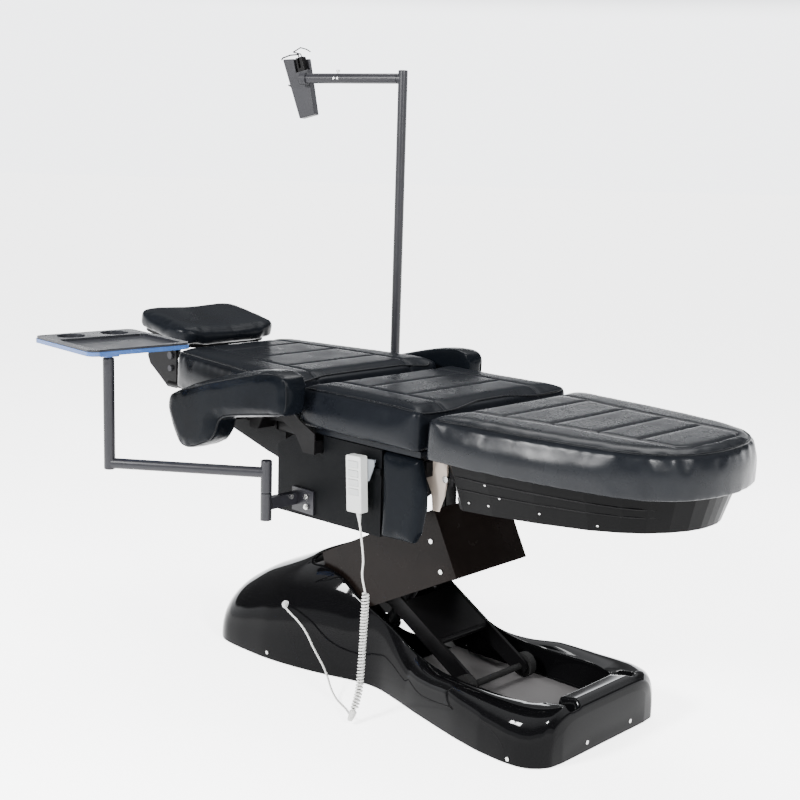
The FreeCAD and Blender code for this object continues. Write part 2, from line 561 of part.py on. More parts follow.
def wire(pts, r):
    s = None
    for a, b in zip(pts, pts[1:]):
        c = rod(a, b, r)
        k = Part.makeSphere(r, V(*b))
        s = c if s is None else s.fuse(c)
        s = s.fuse(k)
    return s.removeSplitter()


hooks = fuse(wire([(12, -34, 66.3), (12, -34, 78), (40, -34, 83), (66, -32, 81), (71, -32, 77)], 2.2))
loop = wire([(-4, -22, 66.3), (-4, -20, 74), (14, -10, 84), (-14, -8, 90), (-24, -24, 84), (-30, -34, 76)], 1.8)
hk2 = wire([(48, -32, -8), (58, -32, -8), (64, -32, -3)], 2.4)
save("holder_jaw", [hplace(jaw), hplace(hooks), hplace(loop)])
hb = hb.fuse(hplace(hk2)).removeSplitter()
save("holder_body", hb)

# ---------------------------------------------------------------- backrest
half = [(BACK_X1, 250), (BACK_X1 - 10, 268), (BACK_X1 - 28, 275), (-300, 275), (-380, 268), (-480, 253), (-600, 234), (-700, 217), (-738, 206), (-756, 184), (BACK_X0, 150)]
w1 = smooth_outline(half, 666.0)
bc = Part.Face(w1).extrude(V(0, 0, BACK_TOP - 666.0))
bc = fillet_all(bc, 14, lambda e: e.BoundBox.ZMin > BACK_TOP - 0.1)
bc = cut(bc, xz([(BACK_X1 - 11, 665.5), (BACK_X1 + 1, 665.5), (BACK_X1 + 1, 677.5)], -300, 300))
save("back_cushion", bc)
halfb = [(BACK_X1 - 12, 250), (-300, 258), (-480, 238), (-700, 202), (-740, 180), (-748, 140)]
bb_ = Part.Face(smooth_outline(halfb, 652.0)).extrude(V(0, 0, 13.7))
bf = []
for s in (1, -1):
    bf.append(xy([(-210, s * 205), (-210, s * 235), (-720, s * 165), (-720, s * 135)], 622, 651.7))
    y0, y1 = (277.5, 283) if s > 0 else (-283, -277.5)
    bf.append(xz([(-262, 722), (-288, 722), (-300, 690), (-330, 664), (-330, 628), (-300, 628), (-262, 690)], y0, y1))
    bf.append(box(-330, -300, min(s * 190, s * 283), max(s * 190, s * 283), 628, 651.7))
    bf.append(box(-446, -414, min(s * 180, s * 284), max(s * 180, s * 284), 630, 651.7))
    bf.append(xz([(-446, 631), (-414, 631), (-414, 668), (-446, 668)], min(s * 279, s * 284), max(s * 279, s * 284)))
bf.append(box(-320, -290, -228, 228, 622, 651.7))
bf.append(box(-700, -670, -168, 168, 622, 651.7))
LEV_B = (HB[0] + 120 * math.sin(math.radians(35)), HB[1] - 120 * math.cos(math.radians(35)))
for y0, y1 in ((-90, -82), (-38, -30)):
    bf.append(xz([(-320, 651), (-290, 651), (-255, 640), (LEV_B[0] + 12, LEV_B[1] + 14), (LEV_B[0] + 12, LEV_B[1] - 12), (LEV_B[0] - 12, LEV_B[1] - 12), (-320, 622)], y0, y1))
# headrest guide tubes
HR_Z = 636.0
for s in (1, -1):
    bf.append(rod((-560, s * 95, HR_Z), (-742, s * 95, HR_Z), 13))
bf.append(box(-575, -550, -212, 212, 622, 651.7))
backf = fuse(*bf)
cc_ = [ycyl(LEV_B[0], LEV_B[1], 8 + CLR, -100, -20)]
for s in (1, -1):
    cc_.append(ycyl(HB[0], HB[1], 6 + CLR, min(s * 270, s * 300), max(s * 270, s * 300)))
    cc_.append(rod((-549, s * 95, HR_Z), (-760, s * 95, HR_Z), 9 + CLR))
    cc_.append(ycyl(ARM_PIN[0], ARM_PIN[1], 7 + CLR, min(s * 270, s * 300), max(s * 270, s * 300)))
backf = cut(backf, *cc_)
print("back frame solids", len(backf.Solids))
bp_ = [ycyl(LEV_B[0], LEV_B[1], 8, -93, -27)]
for s in (1, -1):
    a, b = (276, ARM_Y0 + 34) if s > 0 else (-(ARM_Y0 + 34), -276)
    bp_.append(ycyl(ARM_PIN[0], ARM_PIN[1], 7, a, b))
save("back_frame", [backf, bb_] + bp_)
uc = xz([(-752, 651), (-752, 640), (-330, 556), (-325, 560), (-325, 621), (-331, 651)], -222, 222)
ui = xz([(-749, 660), (-749, 642.5), (-331, 559.6), (-328, 562), (-328, 660)], -219, 219)
uc = cut(uc, ui)
taper = xy([(-325, 260), (-325, 222), (-752, 178), (-752, 260)], 500, 700)
uc = cut(uc, taper, taper.mirror(V(0, 0, 0), V(0, 1, 0)))
for s in (1, -1):
    sw = xz([(-752, 651), (-752, 640), (-330, 556), (-325, 560), (-325, 621), (-331, 651)], -240, 240).common(
        xy([(-325, s * 222), (-325, s * 218.5), (-752, s * 174.5), (-752, s * 178)], 500, 651))
    uc = fuse(uc, sw)
for s in (1, -1):
    sw = xz([(-327, 557), (-258, 543.5), (-252, 548), (-252, 621), (-327, 621)], -240, 240).common(
        xy([(-327, s * 222.2), (-252, s * 229.7), (-252, s * 226), (-327, s * 218.5)], 500, 651))
    sb2 = xz([(-333, 556.6), (-258, 543.5), (-252, 548), (-252, 550.5), (-258, 546.5), (-333, 559.8)], min(s * 112, s * 222), max(s * 112, s * 222))
    uc = fuse(uc, sw, sb2)
for s in (1, -1):
    uc = cut(uc, box(-760, -740, s * 95 - 16, s * 95 + 16, 600, 660))
bars_z = 621.7
uc = cut(uc, *[box(-800, -300, -300, 300, bars_z, 700)])
uc = max(uc.Solids, key=lambda q: q.Volume)
save("back_under_cover", uc)

# headrest: carriage with two rods, tilting board and pillow
car = []
for s in (1, -1):
    car.append(rod((-590, s * 95, HR_Z), (-930, s * 95, HR_Z), 9))
    car.append(xz([(-893, 626), (-935, 626), (-985, 660), (-1022, 684), (-1034, 706), (-1030, 730), (-1012, 746), (-990, 750), (-915, 750), (-899, 744), (-893, 730)], s * 95 - 4, s * 95 + 4))
car.append(box(-930, -905, -99, 99, 626, 646))
HT_P = (-917.0, 721.0)
car = fuse(*car)
car = cut(car, ycyl(HT_P[0], HT_P[1], 7 + CLR, -120, 120))
save("headrest_carriage", car)
hbo = []
for s in (1, -1):
    fl = cyl((0, s * 110.0, 0), (0, 1, 0), 6, 1)
    b1 = cyl((HT_P[0], s * 99.1, HT_P[1]), (0, s, 0), 11.0, 6.0)
    b2 = cyl((-917, s * 99.1, 683), (0, s, 0), 9.0, 6.0)
    hbo += [b1, b2]
hbo.append(ycyl(HT_P[0], HT_P[1], 7, -99.1, 99.1))
save("headrest_bolts", hbo)
PT = math.radians(12)


def tiltp(s):
    s = s.copy()
    s.rotate(V(-870, 0, 789), V(0, 1, 0), 10)
    return s


hbd = box(-990, -776, -156, 156, 778, 789)
hbd = fillet_all(hbd, 45, is_vertical)
hbd = tiltp(hbd)
brk = []
for s in (1, -1):
    brk.append(xz([(-934, 715), (-900, 715), (-880, 800), (-955, 820), (-940, 730)], s * 84 - 4, s * 84 + 4))
brk = [fuse(b, ycyl(HT_P[0], HT_P[1], 14, b.BoundBox.YMin, b.BoundBox.YMax)) for b in brk]
slab = tiltp(box(-1100, -600, -300, 300, 788.0, 1000))
brk = [b.cut(slab) for b in brk]
hbd = fuse(hbd, *brk)
hbd = cut(hbd, ycyl(HT_P[0], HT_P[1], 7 + CLR, -120, 120))
save("headrest_board", hbd)
n = 40
pts = []
for i in range(n):
    a = 2 * math.pi * i / n
    c, s_ = math.cos(a), math.sin(a)
    px = -876 + math.copysign(abs(c) ** (2 / 5.0), c) * PILLOW_HX
    py = math.copysign(abs(s_) ** (2 / 5.0), s_) * PILLOW_HY
    pts.append(V(px, py, 789.3))
pw = Part.makePolygon(pts + [pts[0]])
pl = Part.Face(pw).extrude(V(0, 0, PILLOW_T))
pl = fillet_all(pl, 14, lambda e: e.BoundBox.ZMin > 789.3 + PILLOW_T - 0.1)
pl = tiltp(pl)
save("headrest_pillow", pl)

# back motor on the platform, rod to the lever
BM_Y = -60.0
bz = LEV_B[1] - 9.0
u = V(-1, 0, 0)
bm = fuse(Part.makeCylinder(22, 80, V(160, BM_Y, bz), u), Part.makeCylinder(16, 220, V(100, BM_Y, bz), u), Part.makeCylinder(19, 72, V(133, BM_Y + 4, bz), V(0, 1, 0)))
bm = bm.cut(Part.makeCylinder(9.3, 250, V(100, BM_Y, bz), u))
bm = max(bm.Solids, key=lambda q: q.Volume)
save("back_motor", bm)
br = fuse(Part.makeCylinder(9, 300 - 26, V(80, BM_Y, bz), u).common(box(LEV_B[0] + 20, 500, -500, 500, 0, 1000)), Part.makeCylinder(29, 20, V(LEV_B[0], BM_Y - 10, bz + 0.0), V(0, 1, 0)))
br = br.cut(Part.makeCylinder(22.5, 60, V(LEV_B[0], BM_Y - 30, bz), V(0, 1, 0)))
br = max(br.Solids, key=lambda q: q.Volume)
save("back_motor_rod", br)

# ---------------------------------------------------------------- leg rest
lh = [(LEG_X0, 250), (LEG_X0 + 8, 267), (LEG_X0 + 26, 275), (400, 273), (520, 263), (640, 246), (740, 224), (800, 198), (842, 160), (866, 118), (881, 70), (LEG_X1, 24)]
lc = Part.Face(smooth_outline(lh, 652.0)).extrude(V(0, 0, 750 - 652.0))
lc = fillet_all(lc, 12, lambda e: e.BoundBox.ZMin > 749.9)
save("leg_cushion", lc)
pw_up = [(293, 225), (320, 246), (420, 246), (540, 234), (660, 212), (740, 188), (790, 160), (826, 120), (848, 78), (858, 40), (860, 14)]
pw_lo = [(312, 196), (330, 206), (420, 208), (540, 202), (660, 186), (724, 164), (768, 138), (802, 102), (824, 66), (834, 34), (836, 12)]


def loft_pan(up, lo, zu, zl0, zl1):
    a = smooth_outline(up, zu)
    pts = []
    for x, y in lo:
        pts.append((x, y))
    full = [V(x, y, zl0 + (zl1 - zl0) * (x - 300) / 500.0) for x, y in pts] + [V(x, -y, zl0 + (zl1 - zl0) * (x - 300) / 500.0) for x, y in reversed(pts)]
    b = Part.makePolygon(full + [full[0]])
    return Part.makeLoft([b, a], True, True)


pan = loft_pan(pw_up, pw_lo, 651.6, 532.0, 569.0)
pin_ = loft_pan([(x - 3 if x > 320 else x + 3, y - 3.4) for x, y in pw_up], [(x - 3 if x > 330 else x + 3, y - 3.0) for x, y in pw_lo], 652.6, 535.0, 572.0)
print("pan", pan.isValid(), pin_.isValid())
pan = cut(pan, pin_)
pan = cut(pan, box(280, 345, 20, 100, 500, 640))
for s in (1, -1):
    pan = cut(pan, box(280, 318, min(s * 192, s * 219), max(s * 192, s * 219), 560, 640))
pan = max(pan.Solids, key=lambda q: q.Volume)
save("leg_pan", pan)
lf = []
for s in (1, -1):
    lf.append(xy([(330, s * 196), (330, s * 170), (740, s * 110), (740, s * 140)], 618, 648))
lf.append(box(320, 350, -205, 205, 618, 648))
lf.append(box(700, 728, -130, 130, 618, 648))
for s in (1, -1):
    y0, y1 = (199, 205) if s > 0 else (-205, -199)
    lf.append(xz([(272, 612), (300, 616), (345, 648), (345, 620), (310, 590), (285, 584), (272, 590)], y0, y1))
LEV_L = (HL[0] + 70 * math.sin(math.radians(25)), HL[1] - 70 * math.cos(math.radians(25)))
for y0, y1 in ((34, 41), (79, 86)):
    lf.append(xz([(322, 640), (346, 640), (346, 600), (LEV_L[0] + 13, LEV_L[1] - 4), (LEV_L[0], LEV_L[1] - 13), (LEV_L[0] - 13, LEV_L[1]), (310, 590)], y0, y1))
legf = fuse(*lf)
legf = cut(legf, ycyl(HL[0], HL[1], 8 + CLR, -230, 230), ycyl(LEV_L[0], LEV_L[1], 7 + CLR, 20, 100))
print("leg frame solids", len(legf.Solids))
leg_board = (Part.Face(smooth_outline([(330, 190), (420, 190), (540, 180), (660, 160), (740, 130), (790, 90), (800, 40)], 648.2)).extrude(V(0, 0, 3.4)))
save("leg_frame", [legf, leg_board, ycyl(LEV_L[0], LEV_L[1], 7, 31, 89)])
LM_Y = 60.0
lz = LEV_L[1] - 3.4
u = V(1, 0, 0)
lmo = fuse(Part.makeCylinder(19, 70, V(-105, LM_Y, lz), u), Part.makeCylinder(14, 250, V(-60, LM_Y, lz), u), Part.makeCylinder(17, 70, V(-80, LM_Y + 4, lz), V(0, 1, 0)))
lmo = lmo.cut(Part.makeCylinder(8.3, 260, V(-50, LM_Y, lz), u))
lmo = max(lmo.Solids, key=lambda q: q.Volume)
save("leg_motor", lmo)
lro = fuse(Part.makeCylinder(8, 298, V(32, LM_Y, lz), u).common(box(-500, LEV_L[0] - 13, -500, 500, 0, 1000)), Part.makeCylinder(17.5, 18, V(LEV_L[0], LM_Y - 9, lz), V(0, 1, 0)))
lro = lro.cut(Part.makeCylinder(11.8, 60, V(LEV_L[0], LM_Y - 30, lz), V(0, 1, 0)))
lro = max(lro.Solids, key=lambda q: q.Volume)
save("leg_motor_rod", lro)
mc = [xz([(108, 630), (150, 630), (150, bz - 6), (140, bz - 30), (118, bz - 30), (108, bz - 6)], BM_Y - 30, BM_Y - 22.3),
      box(-100, -62, LM_Y - 30, LM_Y - 19.3, lz - 12, 630)]
seat_frame = fuse(seat_frame, *mc)
print("seat frame solids", len(seat_frame.Solids))
save("seat_frame", [seat_frame] + fillers + hg)

# ---------------------------------------------------------------- armrests
APTS = [(-576, 686), (-528, 711), (-413, 746), (-300, 776), (-215, 797), (-150, 803), (-112, 795), (-100, 770), (-103, 715), (-112, 696), (-150, 688), (-250, 672),
        (-335, 657), (-366, 646), (-373, 613), (-402, 581), (-452, 560), (-497, 548), (-533, 556), (-568, 604), (-584, 650)]
ar = xz(APTS, -ARM_Y1, -ARM_Y0)
ar = fillet_all(ar, 12, lambda e: e.BoundBox.YMax < -ARM_Y1 + 0.1)
ar = cut(ar, ycyl(ARM_PIN[0], ARM_PIN[1], 7 + CLR, -(ARM_Y0 + 38), -200))
save("armrest_near", ar)
save("armrest_far", ar.mirror(V(0, 0, 0), V(0, 1, 0)))

# ---------------------------------------------------------------- handset
HX0, HX1, HY0, HY1, HZ0, HZ1 = 38.0, 88.0, -297.0, -275.0, 490.0, 626.0
LEAN = -3.0  # slight lean of the hanging handset, degrees
RX = 69.0    # where its lead comes out, across the handset


def lean(s):
    s = s.copy()
    s.rotate(V(63, -286, 626), V(0, 1, 0), LEAN)
    return s


hs = box(HX0, HX1, HY0, HY1, HZ0, HZ1)
hs = fillet_all(hs, 5, lambda e: abs(e.Vertexes[0].Point.y - e.Vertexes[-1].Point.y) > 10)
hs = fillet_all(hs, 2.0, lambda e: e.BoundBox.YMax < HY0 + 0.1)
KEY_Y = HY0 + 2.6
slots = []
KZ = [606, 584, 562, 540]
for z in KZ:
    slots.append(box(HX0 + 8, HX1 - 8, HY0 - 1, HY0 + 5, z - 8, z + 8))
    slots.append(cyl((HX0 + 5.6, KEY_Y, z), (1, 0, 0), 1.2 + CLR, HX1 - HX0 - 11.2))
hs = cut(hs, *slots)
handset_shape = lean(hs)
for i, z in enumerate(KZ):
    k = box(HX0 + 8.4, HX1 - 8.4, HY0 - 1.0, HY0 + 3.8, z - 7.3, z + 7.3)
    k = fillet_all(k, 1.2, lambda e: abs(e.Vertexes[0].Point.y - e.Vertexes[-1].Point.y) > 3)
    k = fuse(k, cyl((HX0 + 6, KEY_Y, z), (1, 0, 0), 1.2, HX1 - HX0 - 12))
    save("handset_key_%d" % (i + 1), lean(k))
clip = fuse(box(HX1 - 14, HX1 + 22, HY1 + 0.2, HY1 + 2.8, 566, 616), box(HX1 - 14, HX1 + 22, HY1 + 0.2, HY1 + 3.0, 596, 616))
clip = fuse(xz([(HX1 - 20, 618), (HX1 + 22, 618), (HX1 + 22, 604), (HX1 + 4, 566), (HX1 - 20, 566)], HY1 + 0.2, HY1 + 3.0),
            box(HX1 - 20, HX1 + 22, HY1 + 0.2, HY1 + 6.0, 612, 618))
save("handset_clip", lean(clip))


# ---------------------------------------------------------------- cord
def tube_path(pts, r, name):
    P = [V(*p) for p in pts]
    edges = []
    cur = P[0]
    radii = []
    for i in range(1, len(P) - 1):
        a, b, c = P[i - 1], P[i], P[i + 1]
        d1 = (a - b)
        d2 = (c - b)
        l1, l2 = d1.Length, d2.Length
        u1, u2 = d1 * (1 / l1), d2 * (1 / l2)
        turn = math.pi - math.acos(max(-1, min(1, u1.dot(u2))))
        t = 0.45 * min(l1, l2)
        R = t / math.tan(turn / 2)
        radii.append(round(R, 1))
        s_, e_ = b + u1 * t, b + u2 * t
        bis = (u1 + u2)
        bis.normalize()
        cen = b + bis * (R / math.cos(turn / 2))
        mid = cen - bis * R
        if (s_ - cur).Length > 0.01:
            edges.append(Part.LineSegment(cur, s_).toShape())
        edges.append(Part.Arc(s_, mid, e_).toShape())
        cur = e_
    edges.append(Part.LineSegment(cur, P[-1]).toShape())
    w = Part.Wire(edges)
    length = w.Length
    d0 = P[1] - P[0]
    d0.normalize()
    prof = Part.Wire([Part.Circle(P[0], d0, r).toShape()])
    s = w.makePipeShell([prof], True, False)
    print(name, "length", round(length, 1), "radii", radii, "min in diameters", round(min(radii) / (2 * r), 1), "volume ratio", round(s.Volume / (math.pi * r * r * length), 4),
          "runs", [round((P[i + 1] - P[i]).Length, 1) for i in range(len(P) - 1)], "valid", s.isValid())
    return s


RA = V(RX, -286, HZ0 - 0.0)
q = Part.Vertex(RA)
q.rotate(V(63, -286, 626), V(0, 1, 0), LEAN)
RA = q.Point
EXIT = (80.5, -286.5, 467.0)
LEAD = [EXIT, (91.5, -287, 412), (98, -287.5, 374), (93, -288, 342), (103, -289, 314), (109.5, -289.8, 302.4)]
COIL = [(111, -290, 302), (109, -292, 234), (111, -297, 171), (117, -306, 111), (125, -318, 74), (130, -332, 46), (133, -343, 29)]
STUB = [(133.1, -343.4, 28.5), (137.5, -360.5, 10.5)]
TAIL = [(126.2, -348.6, 15.6), (106, -333, 11), (81, -316, 7.5), (50, -303, 5.5), (20, -293, 8), (-10, -283, 22), (-36, -270, 42), (-66, -259, 60), (-98, -249, 74),
        (-127, -241, 90), (-152, -236, 112), (-181, -236, 134), (-211, -236, 147)]
gp_out = gpos + gdir * 15.0
TAIL.append((-236, -234, 155.5))
TAIL.append((gp_out.x, gp_out.y, gp_out.z))
save("cord_lead", tube_path(LEAD, CORD_D / 2, "lead"))
coil = tube_path(COIL, COIL_D / 2, "coil")
a, b = V(*STUB[0]), V(*STUB[1])
stub = Part.makeCone(8.8, 6.6, (b - a).Length, a, b - a)
coil = coil.cut(Part.makeCylinder(30, 30, a - (b - a) * (0.2 / (b - a).Length), b - a))
save("cord_coil", [coil, stub])
tail = tube_path(TAIL, CORD_D / 2, "tail")
tail = tail.cut(Part.makeCone(9.1, 6.9, (b - a).Length + 0.4, a - (b - a) * (0.2 / (b - a).Length), b - a))
tail = max(tail.Solids, key=lambda q: q.Volume)
print("tail and stub apart", round(tail.distToShape(stub)[0], 2), "coil and stub", round(coil.distToShape(stub)[0], 2))
save("cord_tail", tail)
b = V(*EXIT)
sr = Part.makeCone(6.4, 3.1, (b - RA).Length - 0.3, RA + (b - RA) * (-1.0 / (b - RA).Length), b - RA)
handset_shape = handset_shape.fuse(sr).removeSplitter()
save("handset_body", handset_shape)
print("strain relief from", RA, "to", b)
print("gland out", gp_out, "gland dir", gdir)
print("cross", CROSS, "top", TOPP, "roller", ROLL, "link", LINK_A, LINK_B, "motor", MOT_A, MOT_B, "lever B", LEV_B, "lever L", LEV_L, "bz", bz, "lz", lz)
print("files", len(os.listdir("parts")))
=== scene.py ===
import json
import math

import bmesh
import bpy
import numpy as np
from mathutils import Matrix, Vector
from mathutils.bvhtree import BVHTree


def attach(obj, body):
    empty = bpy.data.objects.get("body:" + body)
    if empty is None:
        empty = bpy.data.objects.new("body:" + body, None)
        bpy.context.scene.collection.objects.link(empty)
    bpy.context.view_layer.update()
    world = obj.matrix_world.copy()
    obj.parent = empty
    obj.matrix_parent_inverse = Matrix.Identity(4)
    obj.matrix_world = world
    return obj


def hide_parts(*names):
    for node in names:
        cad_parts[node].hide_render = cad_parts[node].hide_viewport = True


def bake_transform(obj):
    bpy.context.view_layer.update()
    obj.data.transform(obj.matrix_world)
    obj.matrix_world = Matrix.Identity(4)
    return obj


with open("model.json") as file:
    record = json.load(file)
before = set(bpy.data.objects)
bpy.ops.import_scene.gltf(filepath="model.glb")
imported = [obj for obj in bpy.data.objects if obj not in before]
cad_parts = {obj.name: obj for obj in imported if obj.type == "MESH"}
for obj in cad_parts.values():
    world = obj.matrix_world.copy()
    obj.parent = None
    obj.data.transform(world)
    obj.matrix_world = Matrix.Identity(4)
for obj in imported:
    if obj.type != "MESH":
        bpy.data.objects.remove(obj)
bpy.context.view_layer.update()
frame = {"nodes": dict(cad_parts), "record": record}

NODES = frame["nodes"]
MM = 0.001
scene = bpy.context.scene


# ------------------------------------------------------------------ camera
def set_camera():
    az, pi, ro = 0.76529, 0.18519, 0.02999
    d = Vector((-math.sin(az) * math.cos(pi), math.cos(az) * math.cos(pi), -math.sin(pi)))
    r = Vector((math.cos(az), math.sin(az), 0.0))
    u = r.cross(d)
    r2 = r * math.cos(ro) + u * math.sin(ro)
    u2 = -r * math.sin(ro) + u * math.cos(ro)
    cam = bpy.data.cameras.new("main_camera")
    cam.lens = 58.83
    cam.sensor_width = 36.0
    cam.clip_start = 0.05
    cam.clip_end = 60.0
    ob = bpy.data.objects.new("main_camera", cam)
    c = Vector((2.1986, -2.3672, 1.3185))
    ob.matrix_world = Matrix(((r2.x, u2.x, -d.x, c.x), (r2.y, u2.y, -d.y, c.y), (r2.z, u2.z, -d.z, c.z), (0, 0, 0, 1)))
    scene.collection.objects.link(ob)
    scene.camera = ob


set_camera()


# ------------------------------------------------------------------ materials
def new_mat(name):
    m = bpy.data.materials.new(name)
    m.use_nodes = True
    nt = m.node_tree
    return m, nt, nt.nodes["Principled BSDF"]


def node(nt, kind, **inputs):
    n = nt.nodes.new(kind)
    for k, v in inputs.items():
        n.inputs[k.replace("_", " ")].default_value = v
    return n


def grain_mat(name, color, rough, fine_scale, fine_h, soft_scale=0.0, soft_h=0.0, cells=False, metallic=0.0, spec=0.5, coat=0.0, vary=0.25, rough_vary=0.08,
              sheen=0.0, coat_rough=0.05, painted_sheen_top=None):
    """procedural finish: colour and roughness wander slowly, a fine grain and a soft unevenness go into the bump"""
    m, nt, b = new_mat(name)
    tc = nt.nodes.new("ShaderNodeTexCoord")
    src = tc.outputs["Object"]
    slow = node(nt, "ShaderNodeTexNoise", Scale=9.0, Detail=4.0, Roughness=0.6)
    nt.links.new(src, slow.inputs["Vector"])
    ramp = nt.nodes.new("ShaderNodeMix")
    ramp.data_type = "RGBA"
    lo = [max(0.0, c * (1 - vary)) for c in color]
    hi = [min(1.0, c * (1 + vary)) for c in color]
    ramp.inputs[6].default_value = (*lo, 1)
    ramp.inputs[7].default_value = (*hi, 1)
    nt.links.new(slow.outputs["Fac"], ramp.inputs[0])
    nt.links.new(ramp.outputs[2], b.inputs["Base Color"])
    mr = node(nt, "ShaderNodeMapRange")
    mr.inputs["From Min"].default_value = 0.3
    mr.inputs["From Max"].default_value = 0.7
    mr.inputs["To Min"].default_value = max(0.02, rough - rough_vary)
    mr.inputs["To Max"].default_value = min(1.0, rough + rough_vary)
    nt.links.new(slow.outputs["Fac"], mr.inputs["Value"])
    nt.links.new(mr.outputs["Result"], b.inputs["Roughness"])
    if cells:
        fine = node(nt, "ShaderNodeTexVoronoi", Scale=fine_scale, Randomness=1.0)
        fine.feature = "DISTANCE_TO_EDGE"
        fine_out = fine.outputs["Distance"]
        cut = node(nt, "ShaderNodeMapRange")
        cut.inputs["From Min"].default_value = 0.0
        cut.inputs["From Max"].default_value = 0.22
        nt.links.new(fine_out, cut.inputs["Value"])
        fine_out = cut.outputs["Result"]
    else:
        fine = node(nt, "ShaderNodeTexNoise", Scale=fine_scale, Detail=2.0, Roughness=0.6)
        fine_out = fine.outputs["Fac"]
    nt.links.new(src, fine.inputs["Vector"])
    bump = node(nt, "ShaderNodeBump", Strength=1.0, Distance=fine_h)
    nt.links.new(fine_out, bump.inputs["Height"])
    last = bump
    if soft_h > 0:
        soft = node(nt, "ShaderNodeTexNoise", Scale=soft_scale, Detail=1.0, Roughness=0.4)
        nt.links.new(src, soft.inputs["Vector"])
        b2 = node(nt, "ShaderNodeBump", Strength=1.0, Distance=soft_h)
        nt.links.new(soft.outputs["Fac"], b2.inputs["Height"])
        nt.links.new(bump.outputs["Normal"], b2.inputs["Normal"])
        last = b2
    nt.links.new(last.outputs["Normal"], b.inputs["Normal"])
    b.inputs["Metallic"].default_value = metallic
    b.inputs["Specular IOR Level"].default_value = spec if painted_sheen_top is None else 0.5 * (spec + painted_sheen_top)
    if painted_sheen_top is not None:
        # painted sheen and shade: faces that look up get a different specular level from upright ones, so tops and
        # sides come out lighter or darker as the light would make them
        ge = nt.nodes.new("ShaderNodeNewGeometry")
        sp = nt.nodes.new("ShaderNodeSeparateXYZ")
        nt.links.new(ge.outputs["Normal"], sp.inputs[0])
        painted_sheen_ramp = node(nt, "ShaderNodeMapRange")
        painted_sheen_ramp.interpolation_type = "SMOOTHSTEP"
        painted_sheen_ramp.inputs["From Min"].default_value = 0.25
        painted_sheen_ramp.inputs["From Max"].default_value = 0.85
        painted_sheen_ramp.inputs["To Min"].default_value = spec
        painted_sheen_ramp.inputs["To Max"].default_value = painted_sheen_top
        nt.links.new(sp.outputs[2], painted_sheen_ramp.inputs["Value"])
        nt.links.new(painted_sheen_ramp.outputs["Result"], b.inputs["Specular IOR Level"])
    b.inputs["Coat Weight"].default_value = coat
    b.inputs["Coat Roughness"].default_value = coat_rough
    if sheen:
        b.inputs["Sheen Weight"].default_value = sheen
        b.inputs["Sheen Roughness"].default_value = 0.5
    return m


# one black leather in three copies: the leg rest copy is brighter and shinier on its sides as painted sheen, the
# armrest copy darker as painted shade; all three carry a painted top-versus-side sheen
LEATHER = grain_mat("leather_black", (0.0028, 0.0034, 0.0046), 0.29, 620.0, 0.00003, 9.0, 0.0003, cells=True, spec=0.065, painted_sheen_top=0.028, vary=0.35, rough_vary=0.06)
LEATHER_LEG_PAINTED_SHEEN = grain_mat("leather_black_leg_painted_sheen", (0.0032, 0.0038, 0.0050), 0.27, 620.0, 0.00003, 9.0, 0.0003, cells=True, spec=0.13, painted_sheen_top=0.058, vary=0.35, rough_vary=0.06)
LEATHER_ARM_PAINTED_SHADE = grain_mat("leather_black_arm_painted_shade", (0.0020, 0.0026, 0.0036), 0.24, 620.0, 0.00005, 9.0, 0.0005, cells=True, spec=0.026, painted_sheen_top=0.06, vary=0.35, rough_vary=0.06)
PIPING = grain_mat("leather_piping", (0.0020, 0.0024, 0.0032), 0.28, 900.0, 0.0001, 0, 0, cells=True, spec=0.07)
# the gloss shell's tops get far more specular level than its sides: painted sheen on the tops, painted shade on the
# sides
SHELL = grain_mat("shell_black_gloss", (0.0016, 0.0016, 0.0018), 0.055, 260.0, 0.000008, 7.0, 0.0005, spec=0.045, painted_sheen_top=0.30, coat=0.0, vary=0.2, rough_vary=0.02, coat_rough=0.03)
# painted reflection: the black floor of the recess gets a grey colour that stands for the bright room mirrored in it
RECESS_PAINTED_REFLECTION = grain_mat("shell_recess_painted_reflection", (0.060, 0.058, 0.058), 0.42, 500.0, 0.00005, 16.0, 0.0005, spec=0.30, vary=0.22, rough_vary=0.08)
POWDER = grain_mat("powder_black", (0.0024, 0.0023, 0.0025), 0.38, 1500.0, 0.00006, 60.0, 0.00005, spec=0.06, rough_vary=0.05)
# a darker, duller copy of the black powder paint for the leg pan under the leg rest: painted shade
PAN_PAINTED_SHADE = grain_mat("powder_black_pan_painted_shade", (0.0020, 0.0020, 0.0021), 0.34, 1500.0, 0.00005, 30.0, 0.0003, spec=0.032, rough_vary=0.05)
TUBE = grain_mat("tube_black_satin", (0.0065, 0.0065, 0.0085), 0.36, 1800.0, 0.00004, 60.0, 0.00003, spec=0.22, rough_vary=0.05)
BROWN = grain_mat("cover_brown_black", (0.0036, 0.0025, 0.0021), 0.26, 1100.0, 0.00005, 5.0, 0.0004, spec=0.042, rough_vary=0.05)
PANEL = grain_mat("panel_black_vinyl", (0.0014, 0.0016, 0.0019), 0.44, 700.0, 0.00006, 20.0, 0.0002, cells=True, spec=0.03)
STEEL = grain_mat("steel_bright", (0.42, 0.42, 0.41), 0.28, 900.0, 0.00002, 0, 0, metallic=1.0, vary=0.1)
BEIGE = grain_mat("paint_beige_grey", (0.20, 0.17, 0.145), 0.45, 900.0, 0.00005, 40.0, 0.0001, spec=0.4, vary=0.12)
RUBBER = grain_mat("rubber_black", (0.008, 0.008, 0.008), 0.7, 700.0, 0.0002, spec=0.1)
WOOD = grain_mat("board_plywood", (0.10, 0.072, 0.045), 0.6, 160.0, 0.0002, 30.0, 0.0003, spec=0.3, vary=0.3)
WHITE = grain_mat("plastic_off_white", (0.32, 0.325, 0.315), 0.40, 1200.0, 0.00003, 0, 0, spec=0.45, vary=0.04)
